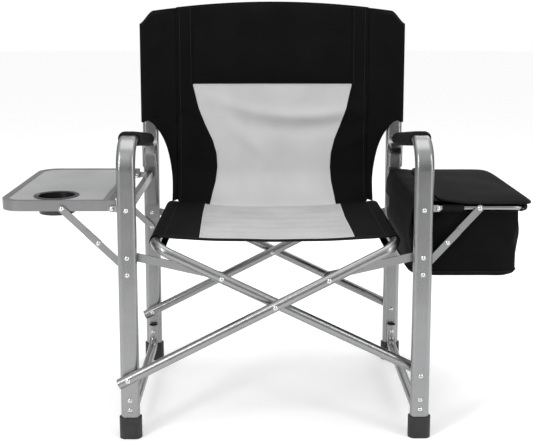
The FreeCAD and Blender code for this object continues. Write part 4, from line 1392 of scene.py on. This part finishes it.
@dataclass
class ArmPad(SoftPart):
    """Foam sleeve on one arm, from over the front bend to before the rear one."""

    side: Side
    span: float = 0.308
    corner: Tuple[float, float] = (0.0553, 0.632)
    slope: float = math.radians(8.0)
    bend: float = 0.062
    length: float = 0.324
    over: float = math.radians(13.0)
    rise: float = 0.0015
    wide: float = 0.0475
    deep: float = 0.0310

    def path(self) -> Array:
        """Centre line: part of the bend's circle, then the straight slope.

        Returns:
            Points from the front, in the chair's own frame.
        """
        along = np.array([math.cos(self.slope), -math.sin(self.slope)])
        top = np.array([math.sin(self.slope), math.cos(self.slope)])
        cut = self.bend * math.tan((math.pi / 2 - LEAN + self.slope) / 2)
        end = np.array(self.corner) + along * cut
        hub = end - top * self.bend
        angle = np.linspace(self.over, 0.0, 14)[:, None]
        arc = hub + self.bend * (np.cos(angle) * top - np.sin(angle) * along)
        straight = end + along * np.linspace(0.004, self.length - cut, 40)[:, None]
        flat = np.concatenate([arc, straight])
        return np.column_stack([np.full(len(flat), self.side.value * self.span), flat])

    def build(self) -> bpy.types.Object:
        """Carry a flat oval along the arm, with round ends.

        Returns:
            The finished pad.
        """
        path = self.lines.place(self.path() + np.array([0.0, 0.0, self.rise]))
        piece = carried(self.side.word + "_arm_foam", path, slot_section(self.wide, self.deep, 44),
                        (1.0, 0.0, 0.0), ends=0.011)
        made = self.dress(piece, ARM_FOAM, "arm_foam", self.side.body, 70.0)
        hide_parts(self.side.word + "_arm_pad")
        return made


# ---------------------------------------------------------------------------
# Cooler bag
# ---------------------------------------------------------------------------


def soft_rectangle(turn: Array, half_x: Array, half_y: Array, power: float) -> Tuple[Array, Array]:
    """Superellipse: sign(cos t) |cos t|^(2/n) times the half width, and the same with sin.

    Args:
        turn: angles.
        half_x: half width.
        half_y: half depth.
        power: n; the higher, the squarer.

    Returns:
        X and Y about the centre.
    """
    c, s = np.cos(turn), np.sin(turn)
    return (half_x * np.sign(c) * np.abs(c) ** (2 / power),
            half_y * np.sign(s) * np.abs(s) ** (2 / power))


def even_turn(half_x: float, half_y: float, power: float, count: int) -> Array:
    """Angles that space a superellipse's points evenly.

    Args:
        half_x: half width.
        half_y: half depth.
        power: squareness.
        count: points wanted.

    Returns:
        Angles from 0, without the last.
    """
    fine = np.linspace(0.0, 2 * math.pi, 4001)
    run = run_length(np.stack(soft_rectangle(fine, half_x, half_y, power), axis=1))
    return np.interp(np.linspace(0, run[-1], count + 1)[:-1], run, fine)


@dataclass
class CoolerBag(SoftPart):
    """Soft bag slung from the side rail and the holder's rod, with a lid."""

    inner: float = 0.2875
    step: float = 0.3215
    outer: float = 0.5230
    front: float = 0.0700
    back: float = 0.4490
    floor: float = 0.3340
    rim: float = 0.4880
    wall: float = 0.0050
    rod_x: float = 0.530
    rod_ends: Tuple[float, float] = (0.0617, 0.4573)
    rod_z: float = 0.4865
    lid_x: Tuple[float, float] = (0.3440, 0.5385)
    lid_y: Tuple[float, float] = (0.0572, 0.4612)
    lid_z: float = 0.5035
    zip_z: float = 0.4825
    round_size: Tuple[float, float, float] = (0.10, 0.19, 7.0)

    def ring(self, inset: Array, z: Array, turn: Array) -> Array:
        """Outline of the bag at a height, pulled in by an inset.

        The inner side goes from inner to step as it passes the side rail. The walls belly
        out by a bell over the height, and creases slant down from the rod's corners.

        Args:
            inset: how far inside the bag's full outline.
            z: height.
            turn: angles round the bag.

        Returns:
            Points in the chair's own frame.
        """
        inner = self.inner + (self.step - self.inner) * smooth_step(z, 0.446, 0.470)
        half_x = (self.outer - inner) / 2 - inset
        half_y = (self.back - self.front) / 2 - inset
        x, y = soft_rectangle(turn, half_x, half_y, 9.0)
        belly = 0.0035 * bell(z, 0.405, 0.045) * np.maximum(np.sin(turn) ** 2, 0.25)
        belly = belly + 0.0035 * bell(z, 0.430, 0.035) * np.clip(np.cos(turn), 0.0, 1.0) ** 2
        crease = 0.0012 * np.sin(9 * turn + 60 * z) * smooth_step(self.rim - z, 0.0, 0.03)
        crease = crease + 0.0016 * bell(z - 0.45 + 0.05 * np.abs(np.cos(2 * turn)), 0.0, 0.010)
        out = (belly + crease) * smooth_step(np.minimum(half_x, half_y), 0.05, 0.09)
        grow = 1 + out / np.maximum(np.hypot(x, y), 1e-6)
        return np.stack([(self.outer + inner) / 2 + x * grow,
                         (self.back + self.front) / 2 + y * grow, z + 0 * x], axis=-1)

    def folding(self, piece: Piece, look: Finish, slot: str, sharp: float = 50.0) -> bpy.types.Object:
        """Dress a piece of the bag: it rides on the right frame, with a mesh of its own.

        Args:
            piece: the piece.
            look: its finish.
            slot: material slot of the record.
            sharp: edges that turn by more than this many degrees stay crisp.

        Returns:
            The finished object.
        """
        made = self.dress(piece, look, slot, "right_frame", sharp)
        self.lines.spot(self.inner, 0.26, 0.42)
        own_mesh(made)
        return made

    def wall_rows(self) -> Array:
        """Section of the bag: floor, a round corner, the wall, a hem, and back down inside.

        Returns:
            Inset and height over the floor, one row for each ring.
        """
        height = self.rim - self.floor
        up = np.linspace(0.0, 1.0, 40) ** 0.9
        outside = [(inset, 0.0) for inset in np.linspace(0.105, 0.016, 16)]
        outside += [(0.012 * (1 - math.sin(a)), 0.012 * (1 - math.cos(a)))
                    for a in np.linspace(0.1, math.pi / 2, 7)]
        outside += [(0.0, 0.014 + (height - 0.014) * share) for share in up]
        hem = [(self.wall * share, height + rise)
               for share, rise in ((0.15, 0.0010), (0.5, 0.0015), (0.85, 0.0010))]
        inside = [(self.wall, height - 0.001 - (height - 0.012) * share) for share in up]
        inside += [(inset + self.wall, self.wall + 0.001) for inset in np.linspace(0.012, 0.100, 14)]
        return np.array(outside + hem + inside)

    def body(self) -> bpy.types.Object:
        """Open bag as rings, one for each row of its section; the floor sags by up to 0.0045.

        Returns:
            The finished bag.
        """
        rows = self.wall_rows()
        turn = even_turn(*self.round_size, 220)
        inset, rise = rows[:, :1], rows[:, 1:]
        grid = self.ring(inset, self.floor + rise, turn[None, :])
        grid[..., 2] -= 0.0045 * np.clip(inset / 0.1, 0, 1) * (rise < 0.02)
        girth = np.linspace(0.0, 1.1, len(turn))[None, :]
        depth = np.linspace(0.0, 0.6, len(rows))[:, None]
        flat = np.stack(np.broadcast_arrays(girth, depth), axis=2)
        piece = closed_rings("cooler_bag_body", self.lines.place(grid), flat, np.zeros((2, 2)))
        made = self.folding(piece, CLOTH_BLACK, "cloth_black", 60.0)
        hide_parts("bag_body")
        return made

    def lid(self) -> None:
        """Lid as rings from its top centre over the edge to its lower centre, with piping.

        The top falls by 0.0065 rho^5 towards the free edges; the hinge edge stays level.
        """
        half_x, half_y = (np.ptp(self.lid_x) / 2, np.ptp(self.lid_y) / 2)
        mid_x, mid_y = np.mean(self.lid_x), np.mean(self.lid_y)
        turn = even_turn(half_x, half_y, 8.0, 200)
        inward = np.linspace(0.04, 0.985, 26)
        share = np.concatenate([inward, [0.995, 1.0, 0.995], inward[::-1]])[:, None]
        upper = np.concatenate([np.ones(26), [0.8, 0.0, -0.8], -np.ones(26)])[:, None]
        squareness = 8.0 + 8.0 * smooth_step(-np.sin(turn), -0.2, 0.2)
        edge_x, edge_y = soft_rectangle(turn, half_x, half_y, squareness)
        x, y = mid_x + share * edge_x, mid_y + share * edge_y
        fall = 0.0065 * share ** 5 * smooth_step(x, self.lid_x[0], self.lid_x[0] + 0.07)
        swell = 0.0018 * np.sin(21 * x + 3) * np.sin(15 * y) * (1 - share ** 4)
        grid = np.stack([x, y, self.lid_z - fall + swell + 0.0022 * upper], axis=2)
        poles = np.stack([grid[0].mean(axis=0), grid[-1].mean(axis=0)])[:, :2]
        made = self.dress(closed_rings("cooler_bag_lid", self.lines.place(grid), grid[..., :2], poles),
                          CLOTH_BLACK, "cloth_black", "bag_lid", 80.0)
        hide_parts("bag_lid")
        rim = self.lines.place(grid[27])
        self.dress(carried("cooler_bag_lid_piping", rim, ring_section(0.0024, 8), (0.0, 0.0, 1.0),
                           ring=True), CLOTH_PLAIN, "cloth_black", "bag_lid")
        seam = self.lines.place(np.stack([mid_x + 0.955 * edge_x, mid_y + 0.955 * edge_y,
                                          grid[24, :, 2] + 0.0006], axis=1))
        self.dress(stitches("stitch_bag_lid", np.vstack([seam, seam[:1]]), (0.0, 0.0, 1.0)),
                   THREAD_BLACK, "cloth_black", "bag_lid")

    def zip_and_seams(self) -> None:
        """Zip teeth round the rim, and piping round the floor and under the teeth."""
        turn = even_turn(*self.round_size, 260)
        teeth = self.lines.place(self.ring(np.array(-0.0006), np.array(self.zip_z), turn))
        self.folding(stitches("zip_teeth", np.vstack([teeth, teeth[:1]]), (0.0, 0.0, 1.0), 0.0042,
                              0.0010), ZIP_BLACK, "zip_black")
        for place, z, inset in (("floor", self.floor + 0.0115, 0.0),
                                ("rim", self.zip_z - 0.006, -0.0002)):
            line = self.lines.place(self.ring(np.array(inset), np.array(z), turn))
            self.folding(carried("piping_bag_" + place, line, ring_section(0.0018, 8),
                                 (0.0, 0.0, 1.0), ring=True), CLOTH_PLAIN, "cloth_black")

    def slings(self) -> None:
        """Cloth tubes on the rod's two arms, and webbing loops at its corners."""
        upward = np.array([0.0, 0.0, 1.0])
        turn = np.linspace(0.0, 2 * math.pi, 40, endpoint=False)[:, None]
        for place, y, inward in zip(("front", "rear"), self.rod_ends, (1.0, -1.0)):
            path = np.array([[x, y, self.rod_z] for x in np.linspace(0.349, 0.396, 24)])
            self.dress(carried("rod_sleeve_" + place, self.lines.place(path),
                               slot_section(0.0155, 0.0140, 24), upward, ends=0.0015),
                       CLOTH_PLAIN, "cloth_black", "bag_holder")
            hub = np.array([self.rod_x - 0.0094, y + inward * 0.0094, self.rod_z])
            out = np.array([1.0, -inward, 0.0]) / math.sqrt(2)
            along = np.array([1.0, inward, 0.0]) / math.sqrt(2)
            loop = hub + 0.0078 * (np.cos(turn) * out + np.sin(turn) * upward)
            self.dress(carried("corner_loop_" + place, self.lines.place(loop),
                               slot_section(0.016, 0.0018, 16), along, ring=True),
                       CLOTH_PLAIN, "cloth_black", "bag_holder")

    def rail_cover(self) -> bpy.types.Object:
        """Cloth over the side rail: one rounded outline in X and Z, the same all along Y.

        Returns:
            The finished cover.
        """
        corners = [(0.2862, 0.444), (0.2875, 0.474), (0.2950, 0.4990), (0.3080, 0.5012),
                   (0.3300, 0.5010), (0.3540, 0.4985)]
        section = resample(round_path(corners, 0.009, 8), 60)
        x, y = np.broadcast_arrays(section[None, :, 0], np.linspace(0.0665, 0.4535, 110)[:, None])
        z = section[None, :, 1] + 0.0006 * np.sin(60 * y + 40 * x)
        grid = np.stack([x, y, z], axis=2)[:, ::-1]
        made = self.dress(shell("rail_cover", self.lines.place(grid), 0.0018), CLOTH_BLACK,
                          "cloth_black", "right_frame")
        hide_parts("bag_rail_sleeve")
        return made

    def build(self) -> None:
        """Make and dress the whole bag."""
        self.body()
        self.lid()
        self.zip_and_seams()
        self.slings()
        self.rail_cover()


# ---------------------------------------------------------------------------
# Frame parts that keep their shape
# ---------------------------------------------------------------------------


NODE_LOOKS: Tuple[Tuple[str, Finish], ...] = (
    ("rivets", RIVET_SILVER), ("spacers", SPACER_BLACK), ("cap", SPACER_BLACK), ("boot", FOOT_BLACK),
    ("cross_tube", ROUND_SILVER), ("runner", ROUND_SILVER), ("rod", ROUND_SILVER),
    ("link", BAR_SILVER), ("brace", BAR_SILVER), ("plate", BAR_SILVER),
    ("table_panel", TABLE_SILVER), ("table_rim", RIM_SILVER), ("table_inner_bar", RIM_SILVER),
    ("cup_holder", CUP_BLACK), ("zip_puller", ZIP_BLACK), ("arm_pad", ARM_FOAM),
    ("back_", CLOTH_PLAIN), ("seat_", CLOTH_PLAIN), ("bag_body", CLOTH_PLAIN),
    ("bag_lid", CLOTH_PLAIN), ("bag_rail_sleeve", CLOTH_PLAIN),
)


@dataclass
class FrameFinishes:
    """Gives every carried-over node its finish, by the first word that its name holds."""

    effects: Effects

    def build(self) -> None:
        """Dress every node; one that holds no listed word is plain tube."""
        for name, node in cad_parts.items():
            look = next((given for word, given in NODE_LOOKS if word in name), TUBE_SILVER)
            made = look.material(self.effects)
            if not node.material_slots:
                node.data.materials.append(made)
            for slot in node.material_slots:
                slot.material = made
            log.info("%s: %s", name, look.name)


# ---------------------------------------------------------------------------
# Studio
# ---------------------------------------------------------------------------


@dataclass
class Studio:
    """Pale floor, soft lights and the camera."""

    lines: Lines
    lens: float = 61.5
    pitch: float = 12.9
    yaw: float = 0.4
    eye: Tuple[float, float, float] = (-0.031, -1.80, 0.886)

    def floor(self) -> None:
        """Large pale disc: rings of even angle and growing radius."""
        turn = np.linspace(0.0, 2 * math.pi, 96, endpoint=False)
        radius = np.array([0.0001, 0.5, 1.5, 4.0, 9.0, 20.0])[:, None]
        grid = np.stack(np.broadcast_arrays(radius * np.cos(turn), radius * np.sin(turn),
                                            np.array([[-0.0005]])), axis=2)
        faces = grid_faces(len(radius), len(turn), close_cols=True)[:, ::-1]
        mesh = bpy.data.meshes.new("pale_floor")
        mesh.from_pydata(grid.reshape(-1, 3).tolist(), [], faces.tolist())
        made = bpy.data.objects.new("pale_floor", mesh)
        bpy.context.scene.collection.objects.link(made)
        pale = bpy.data.materials.new("pale_floor")
        pale.use_nodes = True
        shader = pale.node_tree.nodes["Principled BSDF"]
        for socket, value in (("Base Color", (0.90, 0.90, 0.90, 1.0)), ("Roughness", 0.9),
                              ("Specular IOR Level", 0.1), ("Emission Color", (1.0, 1.0, 1.0, 1.0)),
                              ("Emission Strength", 0.22)):
            shader.inputs[socket].default_value = value
        mesh.materials.append(pale)

    @staticmethod
    def light(name: str, where: Tuple[float, float, float], size: Tuple[float, float],
              power: float) -> None:
        """Area light that faces the chair's middle.

        Args:
            name: its name.
            where: its place.
            size: width and height.
            power: watts.
        """
        data = bpy.data.lights.new(name, "AREA")
        data.shape = "RECTANGLE"
        data.size, data.size_y = size
        data.energy = power
        made = bpy.data.objects.new(name, data)
        made.location = where
        aim = Vector((0.0, 0.0, 0.42)) - Vector(where)
        made.rotation_euler = aim.to_track_quat("-Z", "Y").to_euler()
        bpy.context.scene.collection.objects.link(made)

    def world(self) -> None:
        """White to the eye, and a softer grey dome for light and reflections."""
        made = bpy.data.worlds.new("soft_room")
        bpy.context.scene.world = made
        made.use_nodes = True
        made.node_tree.nodes.clear()
        graph = Graph(made.node_tree)
        axes = graph.add("ShaderNodeSeparateXYZ",
                         {0: graph.add("ShaderNodeTexCoord").outputs["Generated"]})
        ramp = graph.add("ShaderNodeMapRange", {"Value": axes.outputs["Z"], "From Min": 0.0,
                                                "From Max": 0.75, "To Min": 0.10, "To Max": 1.0})
        felt = graph.add("ShaderNodeBackground", {"Color": ramp.outputs[0], "Strength": 1.0})
        seen = graph.add("ShaderNodeBackground", {"Color": (1.0, 1.0, 1.0, 1.0), "Strength": 1.0})
        direct = graph.add("ShaderNodeLightPath").outputs["Is Camera Ray"]
        mix = graph.add("ShaderNodeMixShader", {0: direct, 1: felt.outputs[0], 2: seen.outputs[0]})
        graph.add("ShaderNodeOutputWorld", {"Surface": mix.outputs[0]})

    def camera(self) -> None:
        """Camera in front of the chair, a little above it."""
        data = bpy.data.cameras.new("viewer")
        data.lens = self.lens
        data.sensor_width = 36.0
        data.clip_end = 60.0
        made = bpy.data.objects.new("viewer", data)
        made.location = self.lines.spot(*self.eye)
        made.rotation_euler = Euler((math.radians(90.0 - self.pitch), 0.0, math.radians(-self.yaw)),
                                    "XYZ")
        bpy.context.scene.collection.objects.link(made)
        bpy.context.scene.camera = made

    def build(self) -> None:
        """Make the whole studio."""
        self.camera()
        self.floor()
        self.world()
        self.light("key", (-1.7, -2.0, 1.9), (0.5, 2.2), 30.0)
        self.light("fill", (2.2, -1.6, 1.5), (0.5, 2.2), 18.0)
        self.light("top", (0.0, 0.3, 3.0), (2.6, 2.0), 22.0)
        self.light("back", (0.6, 2.4, 1.8), (2.2, 1.4), 14.0)
        bpy.context.scene.view_settings.view_transform = "Standard"


def main() -> None:
    """Build the studio, the finishes and every soft piece, in that order."""
    logging.basicConfig(level=logging.INFO, format="%(name)s: %(message)s")
    lines = Lines.read()
    log.info("middle %.5f, front %.5f", lines.middle, lines.front)
    effects = Effects()
    Studio(lines).build()
    FrameFinishes(effects).build()
    BackCloth(lines, effects).build()
    SeatCloth(lines, effects).build()
    for side in Side:
        ArmPad(lines, effects, side).build()
    CoolerBag(lines, effects).build()


if __name__ == "__main__":
    main()
